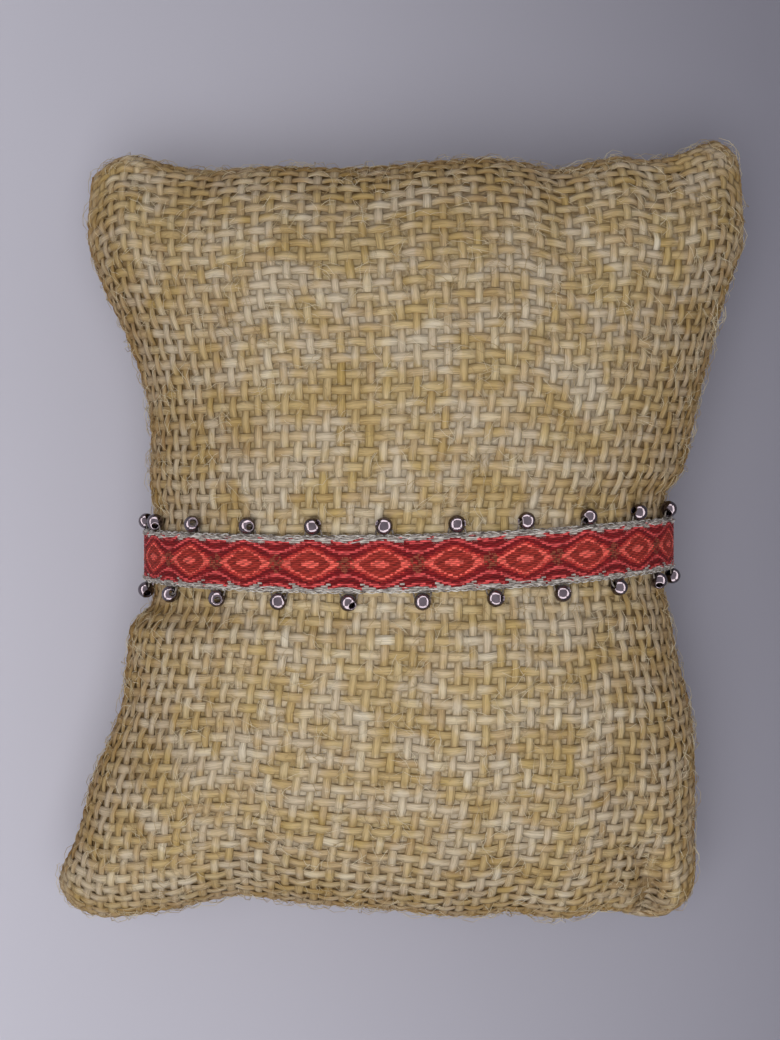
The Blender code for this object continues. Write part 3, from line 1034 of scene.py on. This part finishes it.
coarse_net = [points[::BACKING_STEP] for points in net[::BACKING_STEP]]
backing = add_object("burlap_backing", net_mesh("burlap_backing", coarse_net))
normals = [vertex.normal.copy() for vertex in backing.data.vertices]
for vertex, normal in zip(backing.data.vertices, normals):
    vertex.co -= normal * BACKING_DEPTH
    vertex.co.z = max(vertex.co.z, BACKING_LOWEST)
pressed = backing.data.attributes.new("pressed", "FLOAT", "POINT")
pressed_shares = np.clip([(n.z - PRESSED_FROM) / PRESSED_OVER for n in normals], 0, 1)
pressed.data.foreach_set("value", pressed_shares)
backing.data.materials.append(backing_material())
print("the backing lies", BACKING_DEPTH / MM, "mm under the yarns")

# %% [markdown]
# ## Stray fibres
#
# Jute sheds: short hairs stand off every yarn, and they are what makes burlap look soft. A second
# tree scatters points on the net with a fixed seed, sets one arched hair at each, turned at random
# in the surface, and gives all hairs a thin three-sided section.

# %% One hair
HAIR_STEPS = 4
HAIR_BOW = 0.14
HAIR_BOW_TURN = 4.2
HAIR_TILT = 0.28
HAIR_LENGTHS = (0.4, 1.6)
TILT_SEED = 5
LENGTH_SEED = 9
HAIR_SIZES = {
    "Surface": "Object", "Density": "Float", "Length": "Float", "Thickness": "Float",
    "Arch": "Float", "Lowest": "Float", "Seed": "Int", "Material": "Material",
}


def scattered(tree, given):
    """Points all over the surface, each with the turn that makes a hair lie along it."""
    surface = add(tree, "GeometryNodeObjectInfo", {"Object": given["Surface"]}).outputs["Geometry"]
    scatter = {"Mesh": surface, "Density": given["Density"], "Seed": given["Seed"]}
    return add(tree, "GeometryNodeDistributePointsOnFaces", scatter).outputs


def random_between(tree, low, high, seed):
    """A random number for each point, with a fixed seed."""
    node = add(tree, "FunctionNodeRandomValue", {"Seed": seed}, data_type="FLOAT")
    node.inputs[2].default_value = low
    node.inputs[3].default_value = high
    return node.outputs[1]


def one_hair(tree, given):
    """A line of length one that arches up and bows to one side and back."""
    line = add(tree, "GeometryNodeCurvePrimitiveLine", {"Start": (-0.5, 0, 0), "End": (0.5, 0, 0)})
    evened = {"Curve": line.outputs[0], "Count": HAIR_STEPS}
    line = add(tree, "GeometryNodeResampleCurve", evened).outputs[0]
    x = position_parts(tree)[0]
    arch = calc(tree, "SUBTRACT", 0.25, calc(tree, "MULTIPLY", x, x))
    bow = calc(tree, "SINE", calc(tree, "MULTIPLY", x, HAIR_BOW_TURN))
    bow = calc(tree, "MULTIPLY", bow, HAIR_BOW)
    shape = vector_of(tree, x, bow, calc(tree, "MULTIPLY", arch, given["Arch"]))
    return set_position(tree, line, shape)


print("a hair has", HAIR_STEPS, "points")


# %% Hairs all over
def build_hair_tree():
    """The whole tree: points on the surface, a hair at each, and a thin section for all."""
    tree, given, result = new_tree("hairs_on_surface", HAIR_SIZES)
    scatter = scattered(tree, given)
    spin = random_between(tree, -math.pi, math.pi, given["Seed"])
    tilt = random_between(tree, -HAIR_TILT, HAIR_TILT, TILT_SEED)
    own_turn = vector_of(tree, 0.0, tilt, spin)
    turned = add(
        tree, "FunctionNodeRotateEuler", {0: scatter["Rotation"], "Rotate By": own_turn},
        rotation_type="EULER", space="LOCAL",
    ).outputs[0]
    size = random_between(tree, *HAIR_LENGTHS, LENGTH_SEED)
    size = calc(tree, "MULTIPLY", size, given["Length"])
    laid = {
        "Points": scatter["Points"], "Instance": one_hair(tree, given), "Rotation": turned,
        "Scale": size,
    }
    hairs = add(tree, "GeometryNodeInstanceOnPoints", laid).outputs[0]
    hairs = add(tree, "GeometryNodeRealizeInstances", {"Geometry": hairs}).outputs[0]
    hairs = kept_above(tree, hairs, given["Lowest"])
    circle = {"Resolution": 3, "Radius": given["Thickness"]}
    section = add(tree, "GeometryNodeCurvePrimitiveCircle", circle).outputs[0]
    drawn = {"Curve": hairs, "Profile Curve": section, "Scale": 0.5, "Fill Caps": True}
    tubes = add(tree, "GeometryNodeCurveToMesh", drawn).outputs[0]
    finished(tree, tubes, given["Material"], result)
    return tree


HAIR_TREE = build_hair_tree()
print("the hair tree has", len(HAIR_TREE.nodes), "nodes")

# %% [markdown]
# ## Two growths of hair
#
# Most hairs lie nearly flat, and some stand up in a high arch, which is what frays the outline of
# the pillow. The tree is run once for each kind, with its own length, arch and seed. Their finish
# is the plainest one: specks of two tones, because a hair is far too thin to show more.


# %% Grow the hairs
def fleck_material(name, dark, light, scale, roughness):
    """Fine specks of two tones, for small plain things."""
    material, tree, shader = new_material(name)
    fleck = noise(tree, object_place(tree), scale, 2.0)
    tree.links.new(ramp(tree, fleck, ((0.38, dark), (0.62, light))), shader["Base Color"])
    shader["Roughness"].default_value = roughness
    shader["Specular IOR Level"].default_value = 0.1
    return material


HAIR_DENSITY = 215000.0
HAIR_THICKNESS = 0.07 * MM
HAIR_LOWEST = 0.05 * MM
HAIR_KINDS = (("flat", 2.2 * MM, 0.45, 21), ("raised", 2.6 * MM, 0.95, 22))

HAIR_FINISH = fleck_material("jute_hair", screen(176, 150, 104), screen(226, 214, 184), 300.0, 0.8)
hairs = []
for label, length, arch, seed in HAIR_KINDS:
    hairs.append(grow("jute_hairs_" + label, HAIR_TREE, {
        "Surface": cover_net, "Density": HAIR_DENSITY, "Length": length,
        "Thickness": HAIR_THICKNESS, "Arch": arch, "Lowest": HAIR_LOWEST, "Seed": seed,
        "Material": HAIR_FINISH,
    }))
bpy.data.objects.remove(cover_net)

# %% [markdown]
# ## The cover takes the pillow's place
#
# The plain CAD pillow is no longer needed to be seen. The backing stands for it, since it is the
# one closed skin among these pieces. Everything belongs to the object's single body.

for piece in (*yarns, backing, *hairs):
    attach(piece, "root")
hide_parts("pillow")
print("the cover is made of", len(yarns) + 1 + len(hairs), "pieces")

# %% [markdown]
# ## Where the band lies
#
# The bracelet's band goes all the way round the waist and is thin and flat. The CAD band is a
# strip with eight corners in each section. Sorted by their angle round the pillow, the corners
# fall into sections again, and each section gives the strip's middle, the direction across it and
# the direction outwards. Everything on the band is placed by these three.

# %% The band's sections
SECTION_CORNERS = 8
BAND_WIDTH = 6.7 * MM
BAND_THICKNESS = 1.0 * MM
BAND_THREAD = 0.25 * MM

band_low, band_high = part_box("band")
band_heart = (band_low + band_high) / 2


def turn_round(point):
    """The angle of a point round the pillow, starting underneath."""
    return math.atan2(point[0] - band_heart.x, band_heart.z - point[2]) % (2 * math.pi)


corners = {tuple(round(c, 6) for c in v.co) for v in nodes["band"].data.vertices}
corners = np.array(sorted(corners, key=turn_round))
sections = corners.reshape(-1, SECTION_CORNERS, 3)
middles = sections.mean(axis=1)
band_walk = walk_along(middles)
band_length = band_walk[-1]


def unit(vectors):
    """Each vector brought to length one."""
    return vectors / np.linalg.norm(vectors, axis=-1, keepdims=True)


by_side = [section[np.argsort(section[:, 1])] for section in sections]
across = unit(np.array([part[-4:].mean(axis=0) - part[:4].mean(axis=0) for part in by_side]))
tangents = unit(np.gradient(middles, axis=0))
outwards = unit(np.cross(tangents, across))
if outwards[len(outwards) // 2][2] < 0:
    outwards = -outwards
print(len(sections), "sections, the band is", round(band_length / MM, 1), "mm long")

# %% [markdown]
# ## A surface for the band's threads
#
# The thread tree needs a surface with a UV map, as the pillow had. This one is spanned over the
# band's sections by one profile, just under where the threads will lie: up one side wall, round a
# small corner, over the top and down the other side. The profile is walked along, so that U tells
# true distance across and no thread gets wider at the corners.

# %% A strip over the band
WALL_DEPTH = 0.55 * MM
CORNER_RADIUS = 0.18 * MM
CORNER_STEPS = 3
TOP_STEPS = 12

reach = BAND_WIDTH / 2 - BAND_THREAD / 2
rise = BAND_THICKNESS / 2 - BAND_THREAD / 2
profile = [(-reach, rise - WALL_DEPTH)]
for k in range(CORNER_STEPS + 1):
    turn = 0.5 * math.pi * k / CORNER_STEPS
    inwards, downwards = 1 - math.cos(turn), 1 - math.sin(turn)
    profile.append((-reach + CORNER_RADIUS * inwards, rise - CORNER_RADIUS * downwards))
for k in range(1, TOP_STEPS):
    profile.append(((reach - CORNER_RADIUS) * (2 * k / TOP_STEPS - 1), rise))
profile += [(-a, b) for a, b in profile[CORNER_STEPS + 1::-1]]
profile = np.array(profile)
profile_walk = walk_along(np.column_stack([profile, np.zeros(len(profile))]))
thread_span = profile_walk[-1]

band_rows = [
    middle + profile[:, :1] * sideways + profile[:, 1:] * outward
    for middle, sideways, outward in zip(middles, across, outwards)
]
strip = skin_mesh("band_strip", band_rows, profile_walk / thread_span, band_walk / band_length)
middle_face = strip.polygons[len(strip.polygons) // 2]
if middle_face.normal.z < 0:
    strip.flip_normals()
band_strip = add_object("band_strip", strip)
print("threads are laid over", round(thread_span / MM, 2), "mm across")

# %% [markdown]
# ## Where the beads are
#
# The beads come before the pattern, because on the real band each upper bead sits over the middle
# of a diamond. The CAD beads say where: the centre of each bead's box, and the direction of its
# drilled hole. The mean step between the upper beads is the length of one repeat of the pattern.


# %% Places of the beads
LONG_EDGE = 0.9


def bead_facts(name):
    """A bead's centre and the direction of its drilled hole, read from the CAD bead.

    All corners of the bead lie on one ball, and the edges inside the hole run straight through
    it. They are the shortest of the long edges.
    """
    mesh = nodes[name].data
    low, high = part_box(name)
    edges = [mesh.vertices[b].co - mesh.vertices[a].co for a, b in (e.vertices for e in mesh.edges)]
    longest = max(edge.length for edge in edges)
    long_ones = [edge for edge in edges if edge.length > LONG_EDGE * longest]
    through = min(long_ones, key=lambda edge: edge.length)
    return (low + high) / 2, through.normalized()


bead_names = sorted(name for name in nodes if name.startswith("bead_"))
beads = []
for name in bead_names:
    centre, hole = bead_facts(name)
    section = int(np.argmin(np.linalg.norm(middles - np.array(centre), axis=1)))
    beads.append((name, centre, hole, section))
upper = sorted(band_walk[section] for name, _, _, section in beads if "upper" in name)
REPEAT = (upper[-1] - upper[0]) / (len(upper) - 1)
FIRST_DIAMOND = upper[0]
print(len(beads), "beads, the pattern repeats every", round(REPEAT / MM, 2), "mm")

# %% [markdown]
# ## The band's pattern
#
# The band shows nested diamonds: a bright eye, a darker field round it, and a bright outline that
# comes to solid points. Bright waves follow the diamonds, and where two diamonds meet, a dark lens
# lies outside the wave, with a bright base. It is a common traditional figure, and a weaver
# would chart it thread by thread. Here each thread carries its own place across the band as one
# number, so a material can work out the chart's colour by rule, and every edge steps from thread
# to thread as in the real weave. Distances in the chart are in millimetres.


# %% Colours and rules of the pattern
def below(tree, value, limit):
    """One where the value is under the limit, zero elsewhere."""
    return calc(tree, "LESS_THAN", value, limit)


def oval(tree, x, y, half_length, half_height, power):
    """Below one inside a rounded diamond round the middle."""
    a = calc(tree, "POWER", calc(tree, "DIVIDE", x, half_length), power)
    b = calc(tree, "POWER", calc(tree, "DIVIDE", y, half_height), power)
    return calc(tree, "ADD", a, b)


CORAL = screen(246, 108, 94)
ROSE = screen(216, 82, 82)
BRICK = screen(182, 52, 46)
WINE = screen(126, 16, 22)
UMBER = screen(146, 72, 52)
FIELD = screen(164, 50, 40)
ASH = screen(178, 170, 162)
PICK_LENGTH = 0.28 * MM
PICK_SLIP = 0.22 * MM
LINE_HALF_WIDTH = 0.17
HALF_REPEAT = REPEAT / MM / 2
DIAMOND = (3.80, 1.90, 1.08)
FIELD_IN_DIAMOND = (2.55, 1.60, 1.42)
EYE = (1.35, 0.52, 1.15)
BRICK_RIM = 1.20
CROSSING_SLOPE = 0.80
CROSSING_REACH = 1.25
UMBER_PER_METRE = 1500
UMBER_SHARE = 0.51
print("a diamond is", 2 * DIAMOND[0], "mm long and", 2 * DIAMOND[1], "mm high")


# %% Place in the chart
def chart_place(tree, along, lane, own):
    """The distance from the nearest diamond's middle, along and across, in whole stitches."""
    slip = calc(tree, "MULTIPLY", centred(tree, own), PICK_SLIP)
    walked = calc(tree, "ADD", calc(tree, "SUBTRACT", along, FIRST_DIAMOND), slip)
    walked = calc(tree, "SNAP", walked, PICK_LENGTH)
    turns = calc(tree, "ADD", calc(tree, "DIVIDE", walked, REPEAT), 0.5)
    x = centred(tree, calc(tree, "FRACT", turns))
    x = calc(tree, "MULTIPLY", calc(tree, "ABSOLUTE", x), REPEAT / MM)
    y = calc(tree, "ABSOLUTE", centred(tree, lane))
    return x, calc(tree, "MULTIPLY", y, thread_span / MM)


def near(tree, distance):
    """One on a line of the pattern, zero beside it."""
    return below(tree, calc(tree, "ABSOLUTE", distance), LINE_HALF_WIDTH)


def diamond_colour(tree, x, y, along, thread):
    """The diamond with its field and eye, and the brown crossing beyond its points."""
    diamond = oval(tree, x, y, *DIAMOND)
    colour = mix(tree, below(tree, diamond, BRICK_RIM), WINE, BRICK)
    from_crossing = calc(tree, "MULTIPLY", calc(tree, "SUBTRACT", HALF_REPEAT, x), CROSSING_SLOPE)
    crossing = below(tree, calc(tree, "ADD", y, from_crossing), CROSSING_REACH)
    speck = random_along(tree, along, thread, UMBER_PER_METRE, 1.0, 2.0, 1.0)
    browned = calc(tree, "MULTIPLY", crossing, below(tree, speck, UMBER_SHARE))
    colour = mix(tree, browned, colour, UMBER)
    colour = mix(tree, below(tree, diamond, 1.0), colour, CORAL)
    colour = mix(tree, below(tree, oval(tree, x, y, *FIELD_IN_DIAMOND), 1.0), colour, FIELD)
    return mix(tree, below(tree, oval(tree, x, y, *EYE), 1.0), colour, CORAL)


print("two diamonds' points are", round(2 * (HALF_REPEAT - DIAMOND[0]), 2), "mm apart")


# %% Waves and edges of the chart
WAVE = (0.64, 2.02)
LENS_DEPTH = 1.12
GREY_EDGE = 3.20
GREY_PAST_BASE = 0.24
SHOULDER = (0.9, 2.35)
SHOULDER_PAST_WAVE = 0.34
STITCH_FLECKS = (1.5, 1.02)
FLECKS_PER_METRE = 900
PAINTED_STITCH_TOP_LIGHT = 0.28
STITCH_OWN = 0.35
PAINTED_STITCH_FLANK_SHADE = -0.55


def chart_colour(tree, x, y, own, inner):
    """The diamonds' colour, with the waves, the lenses and the grey outside drawn over it."""
    swing = calc(tree, "COSINE", calc(tree, "MULTIPLY", x, math.pi / HALF_REPEAT))
    from_wave = calc(tree, "SUBTRACT", y, calc(tree, "MULTIPLY_ADD", swing, *WAVE))
    from_base = calc(tree, "SUBTRACT", from_wave, LENS_DEPTH)
    colour = mix(tree, near(tree, from_wave), inner, ROSE)
    colour = mix(tree, near(tree, from_base), colour, ROSE)
    ragged = calc(tree, "MULTIPLY_ADD", centred(tree, own), *SHOULDER)
    outside = calc(tree, "GREATER_THAN", from_wave, SHOULDER_PAST_WAVE)
    shoulder = calc(tree, "MULTIPLY", below(tree, x, ragged), outside)
    past_base = calc(tree, "GREATER_THAN", from_base, GREY_PAST_BASE)
    outer = calc(tree, "MAXIMUM", shoulder, past_base)
    edge = calc(tree, "GREATER_THAN", y, GREY_EDGE)
    return mix(tree, calc(tree, "MAXIMUM", outer, edge), colour, ASH)


def stitch_tone_and_painted_shade(tree, along, thread, own):
    """Light and dark of a thread: flecks, its own tone, a painted highlight on its tops, and painted
    shade in the dips under the cross threads and on its flanks.
    """
    fleck = random_along(tree, along, thread, FLECKS_PER_METRE, 1.0, 0.0, 2.0)
    tone_and_painted_shade = calc(tree, "MULTIPLY_ADD", centred(tree, fleck), *STITCH_FLECKS)
    # painted highlight on the tops of a thread, and painted shade in its dips
    tone_and_painted_shade = calc(tree, "MULTIPLY_ADD", read(tree, "height"), PAINTED_STITCH_TOP_LIGHT, tone_and_painted_shade)
    tone_and_painted_shade = calc(tree, "MULTIPLY_ADD", centred(tree, own), STITCH_OWN, tone_and_painted_shade)
    # painted shade on the flanks of each thread
    side = read(tree, "side")
    return calc(tree, "MULTIPLY_ADD", calc(tree, "MULTIPLY", side, side), PAINTED_STITCH_FLANK_SHADE, tone_and_painted_shade)


print("at a crossing the wave is", round(WAVE[1] - WAVE[0], 2), "mm from the middle")


# %% Band material
def band_material():
    """Dyed thread whose colour is worked out from its place in the chart."""
    material, tree, shader = new_material("woven_thread")
    along, lane, thread = read(tree, "along"), read(tree, "lane"), read(tree, "thread")
    thread_place = {"Vector": vector_of(tree, thread, 5.0, 0.0)}
    own = add(tree, "ShaderNodeTexWhiteNoise", thread_place).outputs[0]
    x, y = chart_place(tree, along, lane, own)
    colour = chart_colour(tree, x, y, own, diamond_colour(tree, x, y, along, thread))
    # random tone with painted shade and highlight, multiplied into the chart's colour
    tone_and_painted_shade = stitch_tone_and_painted_shade(tree, along, thread, own)
    colour = mix(tree, 1.0, colour, vector_of(tree, tone_and_painted_shade, tone_and_painted_shade, tone_and_painted_shade), "MULTIPLY")
    tree.links.new(colour, shader["Base Color"])
    shader["Roughness"].default_value = 0.66
    shader["Specular IOR Level"].default_value = 0.12
    return material


BAND_FINISH = band_material()
print("band material of", len(BAND_FINISH.node_tree.nodes), "nodes")

# %% [markdown]
# ## The band's threads
#
# The lengthwise threads lie side by side, a quarter of a millimetre apart, and dip under a cross
# thread every millimetre or so. The thread tree makes them with a lower, longer wave than the
# burlap's. Each is shifted by about a third of that against the next, as in a satin.

# %% Threads of the band
BAND_THREADS = 32
BAND_SAMPLES = 580
FLOAT_LENGTH = 1.3 * MM

band_threads = grow("band_threads", THREAD_TREE, {
    "Surface": band_strip, "Threads": BAND_THREADS, "Samples": BAND_SAMPLES, "First": 0.01,
    "Last": 0.99, "Length": band_length, "Waves": 2 * band_length / FLOAT_LENGTH, "Shift": 0.74,
    "Wave Height": 0.045 * MM, "Lowest": 0.05 * MM, "Width": 0.27 * MM, "Thickness": BAND_THREAD,
    "Sides": 5, "Slub": 0.35, "Sway": 0.004, "Seed": 4.0, "Material": BAND_FINISH,
})

# %% [markdown]
# ## The band's core
#
# Threads alone would let one look through between them, and the band would have no back. The real
# band is dense: other threads cross inside it. A core closes it, made from a copy of the CAD band
# drawn inwards a little, so that it always lies under the threads. The copy's corners are merged
# first, because a CAD mesh is loose triangles.


# %% Core of the band
CORE_DEPTH = 0.14 * MM


def shrunken_copy(name, node, depth):
    """A CAD node's shape drawn inwards a little, to lie under the threads."""
    bm = bmesh.new()
    bm.from_mesh(nodes[node].data)
    bmesh.ops.remove_doubles(bm, verts=bm.verts, dist=0.001 * MM)
    bmesh.ops.recalc_face_normals(bm, faces=bm.faces)
    bm.normal_update()
    for vertex, normal in [(v, v.normal.copy()) for v in bm.verts]:
        vertex.co -= normal * depth
    mesh = bpy.data.meshes.new(name)
    bm.to_mesh(mesh)
    bm.free()
    return add_object(name, mesh)


band_core = shrunken_copy("band_core", "band", CORE_DEPTH)
CORE_FINISH = fleck_material("band_core", screen(84, 32, 30), screen(132, 66, 56), 2600.0, 0.9)
band_core.data.materials.append(CORE_FINISH)
print("the core has", len(band_core.data.polygons), "faces")

# %% [markdown]
# ## The grey edge threads
#
# Along both edges run a few loose grey threads, the turns of the weft. They wander more than the
# pattern threads, cross over each other and stick out as a ragged line. The thread tree can do
# that too: thin threads with a high wave and a lot of sway, laid over a narrow lane at each edge.

# %% Edge threads
EDGE_THREADS = 6
EDGE_SAMPLES = 560
EDGE_WAVE_LENGTH = 2.3 * MM
EDGE_THREAD = 0.13 * MM
EDGE_LANES = (("lower", 0.020, 0.105), ("upper", 0.895, 0.980))
EDGE_GREYS = (
    (0.36, screen(84, 74, 70)), (0.46, screen(162, 154, 148)), (0.58, screen(226, 222, 216)),
)
EDGE_TONES_PER_METRE = 1100


def edge_material():
    """Grey thread with dark and pale lengths."""
    material, tree, shader = new_material("edge_thread")
    along, thread = read(tree, "along"), read(tree, "thread")
    tone = random_along(tree, along, thread, EDGE_TONES_PER_METRE, 3.3, 0.0, 2.0)
    tree.links.new(ramp(tree, tone, EDGE_GREYS), shader["Base Color"])
    shader["Roughness"].default_value = 0.7
    return material


EDGE_FINISH = edge_material()
edge_threads = []
for edge_name, first, last in EDGE_LANES:
    edge_threads.append(grow("edge_threads_" + edge_name, THREAD_TREE, {
        "Surface": band_strip, "Threads": EDGE_THREADS, "Samples": EDGE_SAMPLES, "First": first,
        "Last": last, "Number": first * 100, "Length": band_length,
        "Waves": 2 * band_length / EDGE_WAVE_LENGTH, "Shift": 0.83, "Wave Height": 0.16 * MM,
        "Lift": 0.18 * MM, "Lowest": 0.05 * MM, "Width": EDGE_THREAD, "Thickness": EDGE_THREAD,
        "Sides": 4, "Slub": 0.5, "Sway": 0.13, "Seed": 6.0, "Material": EDGE_FINISH,
    }))

# %% [markdown]
# ## The metal beads
#
# Small round beads are sewn to the edges, each drilled so that the thread can pass. A ball with a
# hole cut through it would have a mouth as sharp as a knife. So one bead is turned instead, as on
# a lathe: an outline that runs over the ball and back through the hole is swung round the axis,
# with a slightly rounded mouth at each end.

# %% One bead
BEAD_RADIUS = 1.10 * MM
BORE_RADIUS = 0.42 * MM
MOUTH_WIDENING = 0.05 * MM
MOUTH_DEPTH = 0.06 * MM
BEAD_SIDES = 24
BEAD_BANDS = 10


def tube_mesh(name, rings, round_again):
    """Rings of points joined into a closed skin, either back to the first or with two flat caps."""
    bm = bmesh.new()
    rows = [[bm.verts.new(point) for point in points] for points in rings]
    for row, row_next in zip(rows, rows[1:] + (rows[:1] if round_again else [])):
        for c in range(len(row)):
            after = (c + 1) % len(row)
            bm.faces.new((row[c], row[after], row_next[after], row_next[c]))
    if not round_again:
        bm.faces.new(rows[0])
        bm.faces.new(rows[-1])
    bmesh.ops.recalc_face_normals(bm, faces=bm.faces)
    mesh = bpy.data.meshes.new(name)
    bm.to_mesh(mesh)
    bm.free()
    mesh.shade_smooth()
    return mesh


def bead_mesh():
    """One bead with its hole along X."""
    mouth = math.asin((BORE_RADIUS + MOUTH_WIDENING) / BEAD_RADIUS)
    outline = []
    for k in range(BEAD_BANDS + 1):
        turn = mouth + (math.pi - 2 * mouth) * k / BEAD_BANDS
        outline.append((BEAD_RADIUS * math.cos(turn), BEAD_RADIUS * math.sin(turn)))
    inside = BEAD_RADIUS * math.cos(mouth) - MOUTH_DEPTH
    outline += [(-inside, BORE_RADIUS), (inside, BORE_RADIUS)]
    turns = [2 * math.pi * k / BEAD_SIDES for k in range(BEAD_SIDES)]
    rings = [[(x, r * math.cos(t), r * math.sin(t)) for t in turns] for x, r in outline]
    return tube_mesh("one_bead", rings, True)


one_bead = add_object("one_bead", bead_mesh())
print("one bead has", len(one_bead.data.polygons), "faces")

# %% [markdown]
# ## A tree that sets one shape at many points
#
# Thirty-seven beads are the same shape, only placed and turned differently. Bare points can carry
# that: each has a place and two directions, forward and upward. The tree turns the two directions
# into a rotation and sets a copy of the shape at each point.


# %% Tree: one shape at every point
def build_setting_tree():
    """The whole tree: the shape is turned and set at every point."""
    tree, given, result = new_tree("shape_at_points", {"Shape": "Object", "Material": "Material"})
    directions = {
        "Primary Axis": named(tree, "forward", "FLOAT_VECTOR"),
        "Secondary Axis": named(tree, "upward", "FLOAT_VECTOR"),
    }
    turned = add(
        tree, "FunctionNodeAxesToRotation", directions, primary_axis="X", secondary_axis="Z"
    ).outputs[0]
    shape = add(tree, "GeometryNodeObjectInfo", {"Object": given["Shape"]}).outputs["Geometry"]
    laid = {"Points": given["Geometry"], "Instance": shape, "Rotation": turned}
    copies = add(tree, "GeometryNodeInstanceOnPoints", laid).outputs[0]
    finished(tree, copies, given["Material"], result)
    return tree


SETTING_TREE = build_setting_tree()
print("the setting tree has", len(SETTING_TREE.nodes), "nodes")


# %% Points for the tree
def points_mesh(name, places, forwards, upwards):
    """Bare points that carry two directions each."""
    mesh = bpy.data.meshes.new(name)
    mesh.from_pydata([tuple(p) for p in places], [], [])
    for label, vectors in (("forward", forwards), ("upward", upwards)):
        attribute = mesh.attributes.new(label, "FLOAT_VECTOR", "POINT")
        attribute.data.foreach_set("vector", np.array([tuple(v) for v in vectors]).ravel())
    return mesh


bead_centres = [bead[1] for bead in beads]
bead_uprights = [outwards[bead[3]] for bead in beads]
print("points for", len(bead_centres), "beads")

# %% [markdown]
# ## The beads' metal
#
# The beads are dark, bright metal, so what they reflect matters more than their own colour. Their
# roughness is low, with a little variation for wear. A broad, soft bump makes each ring of light
# slightly uneven, as on real beads, which are pressed and never perfect balls. They hang askew on
# their threads, so each hole is tilted by its own random angle, up to fifty degrees either way.


# %% Bead metal
WEAR_SCALE = 900.0
WEAR_ROUGHNESS = 0.2
DULLED = 0.62
DENT_SCALE = 600.0


def metal_material(name, colour, roughness, dent):
    """Bright metal with worn, duller places and broad soft dents."""
    material, tree, shader = new_material(name)
    place = object_place(tree)
    worn = noise(tree, place, WEAR_SCALE, 3.0)
    stops = ((0.3, [DULLED * c for c in colour[:3]] + [1]), (0.7, colour))
    tree.links.new(ramp(tree, worn, stops), shader["Base Color"])
    rough = calc(tree, "MULTIPLY_ADD", centred(tree, worn), WEAR_ROUGHNESS, roughness)
    tree.links.new(rough, shader["Roughness"])
    height = noise(tree, place, DENT_SCALE, 1.0)
    bump = add(tree, "ShaderNodeBump", {"Strength": 0.6, "Distance": dent, "Height": height})
    tree.links.new(bump.outputs[0], shader["Normal"])
    shader["Metallic"].default_value = 1.0
    return material


BEAD_FINISH = metal_material("bead_metal", screen(122, 112, 118), 0.14, 0.42 * MM)
print("bead metal of", len(BEAD_FINISH.node_tree.nodes), "nodes")

# %% Beads in their places
BEAD_TILT = 0.9

tilts = random.Random(7)
holes = []
for _, _, hole, section in beads:
    tilt = Matrix.Rotation(tilts.uniform(-BEAD_TILT, BEAD_TILT), 3, Vector(across[section]))
    holes.append(tilt @ hole)
bead_points = points_mesh("bead_points", bead_centres, holes, bead_uprights)
bead_parts = {"Shape": one_bead, "Material": BEAD_FINISH}
edge_beads = grow("edge_beads", SETTING_TREE, bead_parts, bead_points)
bpy.data.objects.remove(one_bead)

# %% [markdown]
# ## The sewing loops
#
# A grey thread comes out of the band's edge, passes through the bead and goes back in on the other
# side. The loop is one small tube bent like a bow, and the same tree sets it at each bead. All
# that changes is the directions: a loop runs along the band, and opens towards it.

# %% One sewing loop
LOOP_SIDES = 6
LOOP_STEPS = 14
LOOP_RADIUS = 0.11 * MM
LOOP_REACH = 1.12 * MM
LOOP_OPENING = 1.20 * MM
LOOP_DIP = 0.30 * MM
LOOP_SQUARENESS = 6


def loop_mesh():
    """A bow-shaped tube: X runs along the band and Y points away from it."""
    bow = []
    for k in range(LOOP_STEPS + 1):
        t = 2 * k / LOOP_STEPS - 1
        back = -LOOP_OPENING * abs(t) ** LOOP_SQUARENESS
        bow.append(Vector((LOOP_REACH * t, back, -LOOP_DIP * t * t)))
    turns = [2 * math.pi * c / LOOP_SIDES for c in range(LOOP_SIDES)]
    rings = []
    for k, point in enumerate(bow):
        run = (bow[min(k + 1, LOOP_STEPS)] - bow[max(k - 1, 0)]).normalized()
        side = run.cross(Vector((0, 0, 1))).normalized()
        up = side.cross(run)
        around = [math.cos(t) * side + math.sin(t) * up for t in turns]
        rings.append([point + LOOP_RADIUS * way for way in around])
    return tube_mesh("one_loop", rings, False)


one_loop = add_object("one_loop", loop_mesh())
print("one loop has", len(one_loop.data.polygons), "faces")

# %% Loops in their places
runs = []
for _, centre, _, section in beads:
    run = Vector(tangents[section])
    away = outwards[section]
    if Vector(away).cross(run).dot(Vector(centre) - Vector(middles[section])) < 0:
        run = -run
    runs.append(run)
loop_points = points_mesh("loop_points", bead_centres, runs, bead_uprights)
LOOP_FINISH = fleck_material("sewing_thread", screen(96, 88, 82), screen(150, 142, 134), 3000.0, 0.75)
loop_parts = {"Shape": one_loop, "Material": LOOP_FINISH}
sewing_loops = grow("sewing_loops", SETTING_TREE, loop_parts, loop_points)
bpy.data.objects.remove(one_loop)
bpy.data.objects.remove(band_strip)

# %% [markdown]
# ## The clasp's finish
#
# The clasp grips both ends of the band under the pillow. Its CAD shape is right as it is, a small
# block with soft edges and a slot at each end, so it only needs a metal. The beads' material
# serves again, with a lighter colour, more roughness and hardly any bump, as on satin steel.

# %% The clasp's finish
CLASP_FINISH = metal_material("clasp_steel", screen(176, 176, 180), 0.32, 0.01 * MM)
clasp = nodes["clasp"]
clasp.data.materials.clear()
clasp.data.materials.append(CLASP_FINISH)

# %% [markdown]
# ## The bracelet takes its CAD parts' place
#
# The threads stand for the CAD band, and the turned beads for the CAD beads, which stay unseen
# for collisions. Each piece is said to move with the object's single body.

# %% The bracelet's declarations
for piece in (band_threads, band_core, *edge_threads, sewing_loops):
    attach(piece, "root")
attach(edge_beads, "root")
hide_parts("band")
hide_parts(*bead_names)
print("the beads' piece stands for", len(bead_names), "CAD beads")
